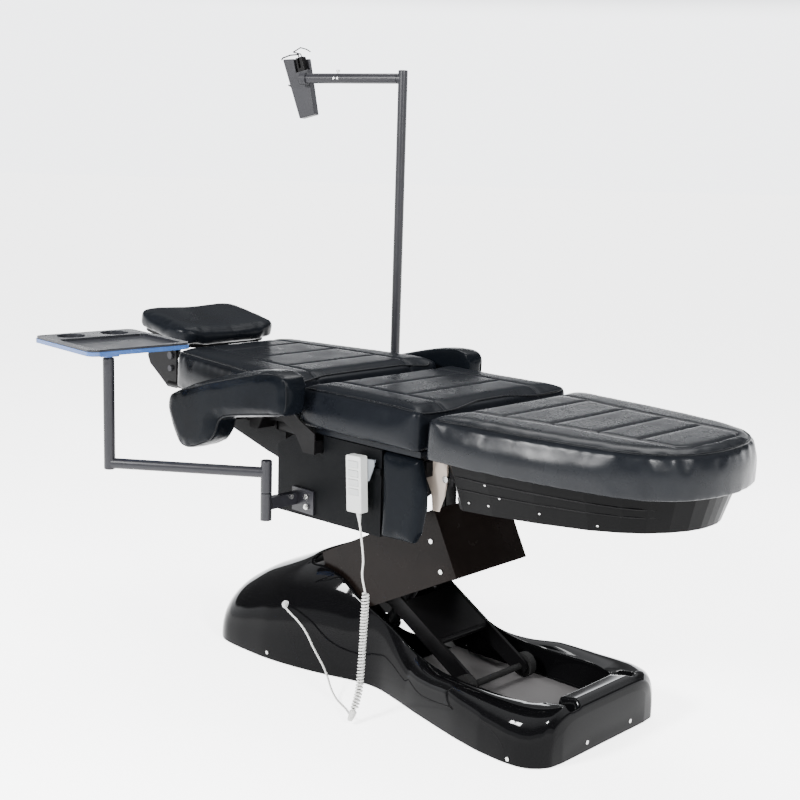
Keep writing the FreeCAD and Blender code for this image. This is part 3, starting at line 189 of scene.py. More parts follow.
CORDM = grain_mat("cord_off_white", (0.36, 0.36, 0.345), 0.48, 1500.0, 0.00003, 0, 0, spec=0.4, vary=0.05)
KEYM = grain_mat("key_pale_grey", (0.27, 0.28, 0.275), 0.5, 1400.0, 0.00003, 0, 0, spec=0.4, vary=0.04)
CLIPM = grain_mat("clip_smoky", (0.11, 0.12, 0.13), 0.18, 900.0, 0.00002, 0, 0, spec=0.5, vary=0.05)
MOTOR = grain_mat("motor_dark", (0.012, 0.012, 0.014), 0.45, 900.0, 0.00006, 0, 0, spec=0.15)
TRAYM = grain_mat("tray_dark", (0.012, 0.0125, 0.015), 0.30, 900.0, 0.00004, 12.0, 0.0002, spec=0.2)
BLUE = grain_mat("tray_blue", (0.020, 0.055, 0.16), 0.20, 900.0, 0.00002, 0, 0, spec=0.5, vary=0.12)
BY_SLOT = {"black_shell": SHELL, "black_paint": POWDER, "brown_paint": BROWN, "leather": LEATHER, "panel": PANEL, "steel": STEEL, "beige": BEIGE, "rubber": RUBBER,
           "wood": WOOD, "white": WHITE, "clip": CLIPM, "motor": MOTOR, "tray": TRAYM, "blue": BLUE}
SLOT_OF = {s["node"]: s["material_slot"] for s in frame["record"]["subparts"]}
SPECIAL = {"tray_arm": TUBE, "pole": TUBE, "top_arm": TUBE, "tray_bracket": TUBE, "pole_bracket": TUBE, "handset_key_1": KEYM, "handset_key_2": KEYM,
           "handset_key_3": KEYM, "handset_key_4": KEYM, "seat_board": LEATHER, "fork_rollers": RUBBER, "arm_collar": STEEL, "holder_jaw": POWDER, "headrest_bolts": MOTOR, "leg_pan": PAN_PAINTED_SHADE}


def give(ob, m):
    if not ob.material_slots:
        ob.data.materials.append(m)
    for s in ob.material_slots:
        s.link = "OBJECT"
        s.material = m


for name, ob in NODES.items():
    give(ob, SPECIAL.get(name) or BY_SLOT[SLOT_OF[name]])

BEVELS = {"side_panels": 0.0015, "arm_cover": 0.0016, "leg_hinge_brackets": 0.0008, "tray_bracket": 0.0012, "pole_bracket": 0.0012, "holder_body": 0.0012,
          "headrest_carriage": 0.001, "headrest_board": 0.0015, "lower_fork": 0.001, "tray_rim": 0.0012, "tray_top": 0.0015, "control_box": 0.002}
for name, w in BEVELS.items():
    md = NODES[name].modifiers.new("edge", "BEVEL")
    md.width = w
    md.segments = 2
    md.limit_method = "ANGLE"
    md.angle_limit = math.radians(35)
    md.use_clamp_overlap = True


# ------------------------------------------------------------------ mesh helpers
def make(name, verts, faces, material, smooth=True):
    me = bpy.data.meshes.new(name)
    me.from_pydata([tuple(v) for v in verts], [], faces)
    me.update()
    bm = bmesh.new()
    bm.from_mesh(me)
    bmesh.ops.recalc_face_normals(bm, faces=bm.faces)
    bm.to_mesh(me)
    bm.free()
    if smooth:
        for p in me.polygons:
            p.use_smooth = True
    ob = bpy.data.objects.new(name, me)
    scene.collection.objects.link(ob)
    me.materials.append(material)
    return ob


def frames_along(P, closed=False):
    n = len(P)
    T = []
    for i in range(n):
        a = P[(i - 1) % n] if (closed or i > 0) else P[i]
        b = P[(i + 1) % n] if (closed or i < n - 1) else P[i]
        t = (b - a)
        T.append(t.normalized() if t.length > 0 else Vector((0, 0, 1)))
    ref = Vector((0, 0, 1)) if abs(T[0].z) < 0.9 else Vector((1, 0, 0))
    N = (ref - T[0] * ref.dot(T[0])).normalized()
    out = []
    for i in range(n):
        N = (N - T[i] * N.dot(T[i])).normalized()
        out.append((T[i], N.copy(), T[i].cross(N)))
    return out


def tube(name, P, r, material, sides=12, closed=False, cap=True):
    P = [Vector(p) for p in P]
    R = r if isinstance(r, (list, tuple)) else [r] * len(P)
    fr = frames_along(P, closed)
    verts, faces = [], []
    for p, rad, (t, n_, b_) in zip(P, R, fr):
        for k in range(sides):
            a = 2 * math.pi * k / sides
            verts.append(p + n_ * (rad * math.cos(a)) + b_ * (rad * math.sin(a)))
    m = len(P)
    for i in range(m if closed else m - 1):
        j = (i + 1) % m
        for k in range(sides):
            l = (k + 1) % sides
            faces.append((i * sides + k, i * sides + l, j * sides + l, j * sides + k))
    if cap and not closed:
        faces.append(tuple(range(sides - 1, -1, -1)))
        faces.append(tuple((m - 1) * sides + k for k in range(sides)))
    return make(name, verts, faces, material)


def smooth_flag(ob, angle=40):
    for p in ob.data.polygons:
        p.use_smooth = True
    md = ob.modifiers.new("smooth", "EDGE_SPLIT")
    md.split_angle = math.radians(angle)
    return ob


def lathe(name, prof, origin, axis, material, sides=40):
    """turned piece: prof is (distance along the axis, radius)"""
    axis = Vector(axis).normalized()
    ref = Vector((0, 0, 1)) if abs(axis.z) < 0.9 else Vector((1, 0, 0))
    n_ = (ref - axis * ref.dot(axis)).normalized()
    b_ = axis.cross(n_)
    o = Vector(origin)
    verts, faces = [], []
    for d, r in prof:
        for k in range(sides):
            a = 2 * math.pi * k / sides
            verts.append(o + axis * d + n_ * (r * math.cos(a)) + b_ * (r * math.sin(a)))
    for i in range(len(prof) - 1):
        for k in range(sides):
            l = (k + 1) % sides
            faces.append((i * sides + k, i * sides + l, (i + 1) * sides + l, (i + 1) * sides + k))
    if prof[0][1] > 1e-6:
        faces.append(tuple(range(sides - 1, -1, -1)))
    if prof[-1][1] > 1e-6:
        faces.append(tuple((len(prof) - 1) * sides + k for k in range(sides)))
    return make(name, verts, faces, material)


# ------------------------------------------------------------------ cord of the handset
EXIT = (80.5, -286.5, 467.0)
LEAD = [EXIT, (91.5, -287, 412), (98, -287.5, 374), (93, -288, 342), (103, -289, 314)]
COIL = [(111, -290, 296), (109, -292, 234), (111, -297, 171), (117, -306, 111), (125, -318, 74), (130, -332, 46), (133, -343, 29)]
TAIL = [(131, -349, 19), (106, -333, 11), (81, -316, 7.5), (50, -303, 5.5), (20, -293, 8), (-10, -283, 22), (-36, -270, 42), (-66, -259, 60), (-98, -249, 74),
        (-127, -241, 90), (-152, -236, 112), (-181, -236, 134), (-211, -236, 147), (-236, -234, 155.5), (-252.9, -223.3, 157.8)]
CORD_D = 5.0
COIL_TURNS = 37
COIL_MEAN_R = 7.0


def nurbs_points(points, resolution=24):
    cu = bpy.data.curves.new("route", "CURVE")
    cu.dimensions = "3D"
    sp = cu.splines.new("NURBS")
    sp.points.add(len(points) - 1)
    for p, q in zip(sp.points, points):
        p.co = (q[0] * MM, q[1] * MM, q[2] * MM, 1.0)
    sp.order_u = 3
    sp.use_endpoint_u = True
    sp.resolution_u = resolution
    ob = bpy.data.objects.new("route", cu)
    scene.collection.objects.link(ob)
    bpy.context.view_layer.update()
    me = bpy.data.meshes.new_from_object(ob.evaluated_get(bpy.context.evaluated_depsgraph_get()))
    pts = [v.co.copy() for v in me.vertices]
    bpy.data.objects.remove(ob)
    bpy.data.meshes.remove(me)
    return pts


def resample(P, step):
    L = [0.0]
    for a, b in zip(P, P[1:]):
        L.append(L[-1] + (b - a).length)
    n = max(2, int(round(L[-1] / step)) + 1)
    out, j = [], 0
    for i in range(n):
        s = L[-1] * i / (n - 1)
        while j < len(L) - 2 and L[j + 1] < s:
            j += 1
        f = (s - L[j]) / max(1e-9, L[j + 1] - L[j])
        out.append(P[j].lerp(P[j + 1], min(1.0, max(0.0, f))))
    return out, L[-1]


def build_cord():
    route = nurbs_points(LEAD + COIL + TAIL)
    pts, total = resample(route, 0.0006)
    step = total / (len(pts) - 1)
    fr = frames_along(pts)
    # the coiled stretch is the part of the route between these two heights on the way down
    i0 = next(i for i, p in enumerate(pts) if p.z < 0.303)
    i1 = next(i for i, p in enumerate(pts) if i > i0 and p.z < 0.031)
    n = i1 - i0
    out = []
    k = 0
    ramp = 0.55 * n / COIL_TURNS
    for i, p in enumerate(pts):
        if i < i0 or i > i1:
            if (i % 6 == 0) or i in (len(pts) - 1, i0 - 1, i1 + 1):
                out.append(p)
            continue
        t, nn, bb = fr[i]
        f = (i - i0) / n
        a = 2 * math.pi * COIL_TURNS * f
        g = min(1.0, (i - i0) / ramp, (i1 - i) / ramp)
        g = g * g * (3 - 2 * g)
        sag = 1.0 + 0.05 * math.sin(f * 9.0)
        r = COIL_MEAN_R * MM * g * sag
        out.append(p + nn * (r * math.cos(a)) + bb * (r * math.sin(a)))
    # an even step along the real line
    even, length = resample(out, 0.0021)
    cord = tube("handset_cord", even, CORD_D * MM / 2, CORDM, sides=10)
    return cord, even, length


cord, cord_path, cord_len = build_cord()
print("cord length", round(cord_len, 4), "points", len(cord_path))
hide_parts("cord_lead", "cord_coil", "cord_tail")


def ribbed_sleeve(name, p, q, r0, r1, ribs, material):
    """tapered strain relief with rings, from p to q"""
    p, q = Vector(p) * MM, Vector(q) * MM
    ax = q - p
    L = ax.length
    prof = [(0.0, r0 * MM * 0.8), (0.0004, r0 * MM)]
    for i in range(ribs):
        a = 0.12 + 0.82 * i / ribs
        w = 0.82 / ribs
        ra = (r0 + (r1 - r0) * a) * MM
        prof += [(L * (a), ra), (L * (a + w * 0.08), ra * 0.80), (L * (a + w * 0.42), ra * 0.78), (L * (a + w * 0.5), ra * 0.99)]
    prof += [(L * 0.97, r1 * MM), (L, r1 * MM * 0.9)]
    return lathe(name, prof, p, ax, material, sides=28)


stub = lathe("cord_moulded_end", [(0.0, 0.0070), (0.0012, 0.0086), (0.006, 0.0088), (0.016, 0.0074), (0.023, 0.0064), (0.0252, 0.0052), (0.026, 0.003)],
             Vector((133.0, -342.6, 29.4)) * MM, Vector((137.5, -360.5, 10.5)) - Vector((133.0, -342.6, 29.4)), CORDM, sides=32)
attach(stub, "base")
relief = ribbed_sleeve("handset_strain_relief", (76.1, -286.0, 490.0), (80.7, -286.55, 466.2), 6.2, 3.3, 5, WHITE)
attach(relief, "handset")
gdir = Vector((0.60, -0.78, 0.12)).normalized()
gpos = Vector((-262, -211.5, 156)) * MM
gland = lathe("cord_gland_ring", [(-0.004, 0.0066), (0.001, 0.0066), (0.0012, 0.0104), (0.0040, 0.0108), (0.0058, 0.0098), (0.0064, 0.0068), (0.0100, 0.0056), (0.0104, 0.0050),
                                  (0.0118, 0.0050), (0.0122, 0.0054), (0.0136, 0.0046), (0.0146, 0.0036)], gpos, gdir, WHITE, sides=40)
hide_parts("cord_gland")
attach(gland, "base")
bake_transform(cord)


# ------------------------------------------------------------------ base shell
W_TAB = [(-600, 70), (-592, 118), (-575, 162), (-537, 206), (-500, 234), (-474, 243), (-420, 246), (-318, 244), (-260, 236), (-204, 225),
         (-150, 211), (-103, 196), (-70, 184), (-38, 173), (0, 164), (40, 164), (80, 172), (131, 184), (190, 199), (250, 212), (346, 232),
         (416, 242), (480, 250), (514, 253), (545, 248), (568, 238), (585, 222), (597, 200), (602, 176)]
H_TAB = [(-600, 34), (-592, 62), (-575, 92), (-537, 133), (-500, 164), (-474, 182), (-420, 212), (-318, 257), (-260, 284), (-204, 298),
         (-150, 301), (-103, 294), (-70, 279), (-38, 281), (0, 298), (40, 272), (80, 224), (131, 184), (190, 156), (250, 146), (316, 148),
         (346, 147), (416, 143), (480, 137), (514, 134), (545, 132), (568, 131), (585, 128), (597, 116), (602, 96)]
RIM_TAB = [(80, 150), (118, 137), (150, 127), (190, 115.5), (220, 108), (250, 103), (316, 100), (408, 104), (496, 111), (540, 118), (602, 130)]
XG = np.arange(-600.0, 602.5, 2.0)


def smooth_table(tab, sigma):
    xs = np.array([t[0] for t in tab], float)
    ys = np.array([t[1] for t in tab], float)
    raw = np.interp(XG, xs, ys)
    k = np.arange(-30, 31) * 2.0
    w = np.exp(-0.5 * (k / sigma) ** 2)
    w /= w.sum()
    pad = np.concatenate([2 * raw[0] - raw[30:0:-1], raw, 2 * raw[-1] - raw[-2:-32:-1]])
    sm = np.convolve(pad, w, mode="valid")
    edge = np.clip(np.minimum(XG + 600, 602 - XG) / 45.0, 0, 1)
    return raw * (1 - edge) + sm * edge


WS = smooth_table(W_TAB, 13.0)
HS = smooth_table(H_TAB, 13.0)


def w_of(x):
    return float(np.interp(x, XG, WS))


def clamp01(v):
    return max(0.0, min(1.0, v))


def shift_y(x):
    return 9.0 * clamp01((x - 430.0) / 90.0)


def smooth01(v):
    v = clamp01(v)
    return v * v * (3 - 2 * v)


def shell_z(x, y):
    w, h = float(np.interp(x, XG, WS)), float(np.interp(x, XG, HS))
    f = clamp01((x - 150.0) / 170.0)
    ey, ez = 3.2 + 3.6 * f, 2.2 + 0.8 * f
    yy = abs(y - shift_y(x))
    z = 3.0 + (h - 3.0) * (1 - min(1.0, yy / w) ** ey) ** (1 / ez)
    if w > 160:
        rim = 3.0 + (h - 3.0) * (1 - (146.0 / w) ** ey) ** (1 / ez)
        drop = max(0.0, rim - float(np.interp(x, [t[0] for t in RIM_TAB], [t[1] for t in RIM_TAB]))) * smooth01((x - 70.0) / 50.0)
        z -= drop * clamp01((w - 12.0 - yy) / (w - 158.0)) ** 1.15
    # the two notches beside the raised tongue at the foot end
    z -= 42.0 * smooth01((x - 526.0) / 14.0) * smooth01((600.0 - x) / 26.0) * smooth01((24.0 - abs(y + 103.0)) / 16.0)
    z -= 22.0 * smooth01((x - 526.0) / 14.0) * smooth01((588.0 - x) / 24.0) * smooth01((18.0 - abs(y - 138.0)) / 14.0)
    return z


def round_poly(pts, r, n=6):
    """open polyline in plan with its inner corners rounded"""
    out = [Vector((*pts[0], 0))]
    for a, b, c in zip(pts, pts[1:], pts[2:]):
        a, b, c = Vector((*a, 0)), Vector((*b, 0)), Vector((*c, 0))
        t = min(r, 0.45 * (a - b).length, 0.45 * (c - b).length)
        p, q = b + (a - b).normalized() * t, b + (c - b).normalized() * t
        for i in range(n + 1):
            f = i / n
            out.append(p.lerp(b, f).lerp(b.lerp(q, f), f))
    out.append(Vector((*pts[-1], 0)))
    return out


def base_shell():
    # one side, from the head end's middle to the foot end's middle
    foot = [Vector((-600, 0, 0)), Vector((-600, 60, 0))] + [Vector((x, w_of(x), 0)) for x in np.arange(-599, 600, 3.0)] + [Vector((602, 160, 0)), Vector((602, 0, 0))]
    rim = round_poly([(-253, 0), (-253, 137), (-120, 138), (60, 138), (250, 150), (470, 155), (534, 130), (537, 0)], 34, 8)
    F, _ = resample(foot, 1.0)
    O, _ = resample(rim, 1.0)

    def split(P, xa, xb):
        ia = next(i for i, p in enumerate(P) if p.x > xa)
        ib = next(i for i, p in enumerate(P) if p.x > xb)
        return P[:ia + 1], P[ia:ib + 1], P[ib:]

    F1, F2, F3 = split(F, -236, 480)
    O1, O2, O3 = split(O, -236, 480)

    def even(P, n):
        q, _ = resample(P, 1.0)
        return [q[int(round(i * (len(q) - 1) / n))] for i in range(n)]

    n1, n2, n3 = 46, 120, 96
    FF = even(F1, n1) + even(F2, n2) + even(F3, n3) + [F3[-1]]
    OO = even(O1, n1) + even(O2, n2) + even(O3, n3) + [O3[-1]]
    # mirror both lines to the other side; the outer line is shifted sideways at the foot end
    m = len(FF)
    FF = [Vector((p.x, p.y + shift_y(p.x), 0)) for p in FF] + [Vector((p.x, -p.y + shift_y(p.x), 0)) for p in reversed(FF[1:-1])]
    OO = OO + [Vector((p.x, -p.y, 0)) for p in reversed(OO[1:-1])]
    n = len(FF)
    rows = []
    lip = 5.0
    inn = []
    for i in range(n):
        t = OO[(i + 1) % n] - OO[(i - 1) % n]
        nrm = Vector((-t.y, t.x, 0)).normalized() if t.length > 1e-6 else Vector((1, 0, 0))
        c = Vector((140, 0, 0))
        if nrm.dot(c - OO[i]) < 0:
            nrm = -nrm
        inn.append(nrm)
    M = 34
    top = [OO[i] - inn[i] * lip for i in range(n)]
    rows.append([Vector((p.x, p.y, 3.0)) for p in FF])
    for j in range(0, M + 1):
        q = j / M
        s = q * q * (0.6 + 0.4 * q)
        row = []
        for i in range(n):
            p = FF[i].lerp(top[i], s)
            z = shell_z(p.x, p.y)
            row.append(Vector((p.x, p.y, max(z, 4.0 + 0.5 * j))))
        rows.append(row)
    ztop = [shell_z(p.x, p.y) for p in top]
    zt = np.array(ztop)
    for _ in range(3):
        zt = (np.roll(zt, 1) + 2 * zt + np.roll(zt, -1)) / 4
    for a in (25, 50, 70, 90):
        r = math.radians(a)
        rows.append([Vector((*(top[i] + inn[i] * lip * math.sin(r)).xy, ztop[i] - lip * (1 - math.cos(r)))) for i in range(n)])

    def deep(x):
        return smooth01((x - 20.0) / 55.0)

    def bottom(x, z):
        return (z - 6.5) * (1 - deep(x)) + 44.0 * deep(x)

    for f in (0.35, 0.7, 1.0):
        rows.append([Vector((OO[i].x, OO[i].y, (ztop[i] - lip) + (bottom(OO[i].x, ztop[i]) - (ztop[i] - lip)) * f)) for i in range(n)])
    for a in (30, 60, 90):
        r = math.radians(a)
        rows.append([Vector((*(OO[i] + inn[i] * 7.0 * (1 - math.cos(r)) * deep(OO[i].x)).xy, bottom(OO[i].x, ztop[i]) - 7.0 * math.sin(r) * max(0.06, deep(OO[i].x))))
                     for i in range(n)])
    verts, faces = [], []
    for row in rows:
        verts += [p * MM for p in row]
    for j in range(len(rows) - 1):
        for i in range(n):
            k = (i + 1) % n
            faces.append((j * n + i, j * n + k, (j + 1) * n + k, (j + 1) * n + i))
    # floor of the recess, from a strip of points across; it wears the grey recess material, a painted reflection
    start = len(verts)
    xs = list(np.arange(30, 532, 8.0)) + [531]
    cols = 18
    for x in xs:
        w = 0
        for p in OO[:m]:
            if p.x <= x:
                w = p.y
        if x > 500:
            w = max([p.y for p in OO[:m] if p.x >= x] or [1])
        for c in range(cols + 1):
            verts.append(Vector((x, (-w + 1) + 2 * (w - 1) * c / cols, 36.7)) * MM)
    for a in range(len(xs) - 1):
        for c in range(cols):
            i = start + a * (cols + 1) + c
            faces.append((i, i + 1, i + cols + 2, i + cols + 1))
    floor_from = (len(rows) - 1) * n
    ob = make("base_shell", verts, faces, SHELL)
    ob.data.materials.append(RECESS_PAINTED_REFLECTION)
    for p in ob.data.polygons:
        if p.index >= floor_from:
            p.material_index = 1
    return ob


shell = base_shell()
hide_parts("base_cover")
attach(shell, "base")


def prism(name, pts, z0, z1, material, bevel=0.003, segments=3):
    n = len(pts)
    verts = [Vector((x, y, z0)) * MM for x, y in pts] + [Vector((x, y, z1)) * MM for x, y in pts]
    faces = [tuple(range(n - 1, -1, -1)), tuple(range(n, 2 * n))] + [(i, (i + 1) % n, n + (i + 1) % n, n + i) for i in range(n)]
    ob = make(name, verts, faces, material, smooth=False)
    md = ob.modifiers.new("bevel", "BEVEL")
    md.width = bevel
    md.segments = segments
    md.limit_method = "ANGLE"
    return ob


def apply_mods(ob):
    bpy.context.view_layer.update()
    dg = bpy.context.evaluated_depsgraph_get()
    me = bpy.data.meshes.new_from_object(ob.evaluated_get(dg))
    ob.modifiers.clear()
    ob.data = me
    return ob


# ------------------------------------------------------------------ cushions
def copy_node(name, new, material=None):
    src = NODES[name]
    me = src.data.copy()
    me.materials.clear()
    ob = bpy.data.objects.new(new, me)
    scene.collection.objects.link(ob)
    me.materials.append(material or LEATHER)
    return ob


def remesh(ob, voxel):
    md = ob.modifiers.new("remesh", "REMESH")
    md.mode = "VOXEL"
    md.voxel_size = voxel
    apply_mods(ob)


def relax(co, nb_idx, nb_off, it, lam=0.5, mask=None):
    """plain smoothing over mesh neighbours"""
    cnt = np.diff(nb_off)
    seg = np.repeat(np.arange(len(co)), cnt)
    for _ in range(it):
        acc = np.zeros_like(co)
        np.add.at(acc, seg, co[nb_idx])
        avg = acc / np.maximum(cnt, 1)[:, None]
        d = (avg - co) * lam
        if mask is not None:
            d *= mask[:, None]
        co = co + d
    return co


def neighbours(me):
    e = np.zeros(len(me.edges) * 2, np.int32)
    me.edges.foreach_get("vertices", e)
    e = e.reshape(-1, 2)
    both = np.concatenate([e, e[:, ::-1]])
    order = np.argsort(both[:, 0], kind="stable")
    both = both[order]
    off = np.searchsorted(both[:, 0], np.arange(len(me.vertices) + 1))
    return both[:, 1], off


def coords(me):
    a = np.zeros(len(me.vertices) * 3)
    me.vertices.foreach_get("co", a)
    return a.reshape(-1, 3)


def set_coords(me, a):
    me.vertices.foreach_set("co", np.asarray(a, float).ravel())
    me.update()


def normals(me):
    a = np.zeros(len(me.vertices) * 3)
    me.vertices.foreach_get("normal", a)
    return a.reshape(-1, 3)


def puff(ob, pinned, pressure=5.0, cap=0.012, shrink=0.003, voxel=0.006, frames=13, limit=None, smooth=2, fit=None):
    """cloth pass: the closed form is remeshed, blown up a little where it isn't held, and the move is capped"""
    remesh(ob, voxel)
    me = ob.data
    nb, off = neighbours(me)
    rest = relax(coords(me), nb, off, smooth)
    set_coords(me, rest)
    small = rest - normals(me) * shrink
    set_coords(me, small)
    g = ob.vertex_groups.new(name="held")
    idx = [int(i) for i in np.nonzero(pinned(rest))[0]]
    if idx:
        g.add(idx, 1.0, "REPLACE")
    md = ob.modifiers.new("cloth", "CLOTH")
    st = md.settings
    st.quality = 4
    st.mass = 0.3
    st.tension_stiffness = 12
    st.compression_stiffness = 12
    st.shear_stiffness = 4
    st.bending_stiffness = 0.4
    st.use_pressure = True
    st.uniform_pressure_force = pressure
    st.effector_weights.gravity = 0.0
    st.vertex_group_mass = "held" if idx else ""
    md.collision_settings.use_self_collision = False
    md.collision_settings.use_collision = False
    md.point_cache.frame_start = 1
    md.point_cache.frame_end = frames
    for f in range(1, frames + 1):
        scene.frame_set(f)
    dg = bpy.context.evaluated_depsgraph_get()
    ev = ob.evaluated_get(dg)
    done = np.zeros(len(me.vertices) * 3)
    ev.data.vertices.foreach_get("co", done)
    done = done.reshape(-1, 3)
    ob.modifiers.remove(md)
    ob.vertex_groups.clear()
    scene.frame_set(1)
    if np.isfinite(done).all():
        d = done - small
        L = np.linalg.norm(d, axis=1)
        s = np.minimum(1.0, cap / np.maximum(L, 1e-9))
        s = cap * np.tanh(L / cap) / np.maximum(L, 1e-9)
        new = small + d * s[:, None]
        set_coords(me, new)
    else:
        set_coords(me, rest)
    c = relax(coords(me), nb, off, 5)
    if fit is not None:
        lo, hi = np.array(fit[0], float) * MM, np.array(fit[1], float) * MM
        a, b = c.min(0), c.max(0)
        c = lo + (c - a) / (b - a) * (hi - lo)
    if limit is not None:
        c = limit(c)
    set_coords(me, c)
    md = ob.modifiers.new("subdivision", "SUBSURF")
    md.levels = 1
    md.render_levels = 1
    apply_mods(ob)
    for p in ob.data.polygons:
        p.use_smooth = True
    return ob


def seg_dist(P, a, b):
    """distance in plan of many points from one line piece"""
    a, b = np.array(a, float), np.array(b, float)
    d = b - a
    t = np.clip(((P - a) @ d) / max(1e-12, d @ d), 0, 1)
    q = a + t[:, None] * d
    return np.linalg.norm(P - q, axis=1)


def groove(ob, lines, depth, width, where, direction=(0, 0, -1)):
    me = ob.data
    c = coords(me)
    n_ = normals(me)
    m = where(c, n_)
    P = c[m][:, :2]
    best = np.full(len(P), 1e9)
    for line in lines:
        for a, b in zip(line, line[1:]):
            best = np.minimum(best, seg_dist(P, np.array(a) * MM, np.array(b) * MM))
    f = np.exp(-(best / width) ** 2) + 0.35 * np.exp(-(best / (width * 3.2)) ** 2)
    c[m] += np.array(direction, float) * (depth * f)[:, None]
    set_coords(me, c)


def bvh_of(ob):
    dg = bpy.context.evaluated_depsgraph_get()
    bpy.context.view_layer.update()
    return BVHTree.FromObject(ob, dg)


def piping(name, ob, outline, z, r, body, centre, closed=True, push=0.0):
    """round welt that follows the cushion's own surface at height z"""
    tree = bvh_of(ob)
    pts = []
    src, _ = resample([Vector((*p, 0)) * MM for p in outline] + ([Vector((*outline[0], 0)) * MM] if closed else []), 0.012)
    c0 = Vector((centre[0], centre[1], 0)) * MM
    for p in src[:-1] if closed else src:
        out = p - Vector((c0.x + 0.75 * (p.x - c0.x) if abs(p.x - c0.x) < centre[2] * MM else c0.x + math.copysign(centre[2] * MM, p.x - c0.x) * 0.75, c0.y, 0))
        out.z = 0
        out.normalize()
        o = Vector((p.x, p.y, z * MM)) + out * 0.06
        hit = tree.ray_cast(o, -out, 0.12)
        if hit[0] is None:
            h = tree.find_nearest(Vector((p.x, p.y, z * MM)))
            q = h[0]
        else:
            q = hit[0]
        pts.append(q + out * (push * MM))
    P = np.array([tuple(p) for p in pts])
    for _ in range(3):
        if closed:
            P = (np.roll(P, 1, 0) + 2 * P + np.roll(P, -1, 0)) / 4
        else:
            P[1:-1] = (P[:-2] + 2 * P[1:-1] + P[2:]) / 4
    t = tube(name, [Vector(p) for p in P], r * MM, PIPING, sides=10, closed=closed)
    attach(t, body)
    return t


def mirror_y(pts):
    return [(x, -y) for x, y in pts]


def limit_box(lo, hi, bottom=None):
    lo, hi = np.array(lo, float) * MM, np.array(hi, float) * MM

    def f(c):
        c = np.minimum(np.maximum(c, lo), hi)
        return c
    return f


# seat
seat = copy_node("seat_cushion", "seat_pad")
puff(seat, lambda c: c[:, 2] < 0.672, cap=0.010, shrink=0.004, fit=((-163, -285, 662.6), (254, 285, 765)))
SEAT_OUT = [(-165, -262), (-152, -275), (238, -275), (250, -262), (250, 262), (238, 275), (-152, 275), (-165, 262)]
SEAM = [[(-160, -172), (245, -172)], [(-160, 172), (245, 172)], [(-20, -172), (-20, 172)], [(110, -172), (110, 172)]]
groove(seat, SEAM, 0.0034, 0.0030, lambda c, n_: (n_[:, 2] > 0.35) & (c[:, 2] > 0.72))
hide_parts("seat_cushion")
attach(seat, "platform")
piping("seat_piping_top", seat, SEAT_OUT, 753.0, 3.0, "platform", (42, 0, 205))

# leg rest
# the leg rest wears the leather copy with painted sheen
leg = copy_node("leg_cushion", "leg_pad", LEATHER_LEG_PAINTED_SHEEN)
puff(leg, lambda c: c[:, 2] < 0.664, cap=0.011, shrink=0.004, fit=((261, -285, 652.3), (890, 285, 757)))
LEG_HALF = [(268, 250), (276, 267), (294, 275), (400, 273), (520, 263), (640, 246), (740, 224), (800, 198), (842, 160), (866, 118), (881, 70), (888, 24)]
LEG_OUT = LEG_HALF + mirror_y(LEG_HALF[::-1])
LEG_SEAM = [[(272, -172), (394, -161), (513, -142), (627, -131), (725, -124), (816, -118), (832, -92), (838, 0), (832, 92), (816, 118), (725, 124), (627, 131), (513, 142),
             (394, 161), (272, 172)], [(394, -161), (394, 161)], [(513, -142), (513, 142)], [(627, -131), (627, 131)], [(725, -124), (725, 124)]]
groove(leg, LEG_SEAM, 0.0036, 0.0030, lambda c, n_: (n_[:, 2] > 0.35) & (c[:, 2] > 0.71))
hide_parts("leg_cushion")
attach(leg, "legrest")
piping("leg_piping_top", leg, LEG_OUT, 745.0, 3.2, "legrest", (560, 0, 200))

# backrest
back = copy_node("back_cushion", "back_pad")
puff(back, lambda c: c[:, 2] < 0.677, cap=0.010, shrink=0.004, fit=((-765, -285, 666.3), (-185, 285, 775)))
BACK_HALF = [(-182, 250), (-192, 268), (-210, 275), (-300, 275), (-380, 268), (-480, 253), (-600, 234), (-700, 217), (-738, 206), (-756, 184), (-762, 150)]
BACK_OUT = BACK_HALF + mirror_y(BACK_HALF[::-1])
BACK_SEAM = [[(-190, -170), (-420, -160), (-640, -132), (-755, -120)], [(-190, 170), (-420, 160), (-640, 132), (-755, 120)], [(-330, -164), (-330, 164)], [(-480, -153), (-480, 153)],
             [(-620, -135), (-620, 135)]]
groove(back, BACK_SEAM, 0.0030, 0.0030, lambda c, n_: (n_[:, 2] > 0.35) & (c[:, 2] > 0.72))
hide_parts("back_cushion")
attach(back, "backrest")
piping("back_piping_top", back, BACK_OUT, 762.0, 3.0, "backrest", (-470, 0, 220))

# pillow
pil = copy_node("headrest_pillow", "head_pad")
puff(pil, lambda c: c[:, 2] < -1, cap=0.008, shrink=0.003, voxel=0.005, fit=((-996, -178, 768), (-750, 178, 860)))
pc_ = coords(pil.data)
pn_ = normals(pil.data)
tilt_n = Vector((math.sin(math.radians(10)), 0, math.cos(math.radians(10))))
up_w = np.clip((pn_ @ np.array(tilt_n) - 0.2) / 0.5, 0, 1)
pc_ -= np.array(tilt_n) * (0.007 * np.exp(-((pc_[:, 1] - 0.01) / 0.085) ** 2) * up_w)[:, None]
set_coords(pil.data, pc_)
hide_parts("headrest_pillow")
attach(pil, "headrest")

# armrests
# the armrests and side pads wear the darker leather copy with painted shade
for side, sgn in (("near", -1), ("far", 1)):
    a = copy_node("armrest_" + side, "arm_pad_" + side, LEATHER_ARM_PAINTED_SHADE)
    puff(a, lambda c: np.abs(c[:, 1]) < 0.2935, cap=0.008, shrink=0.003, voxel=0.005, smooth=1,
         limit=limit_box((-587, -365, 548) if sgn < 0 else (-587, 290.5, 548), (-97, -290.5, 806) if sgn < 0 else (-97, 365, 806)))
    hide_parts("armrest_" + side)
    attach(a, "armrest_" + side)

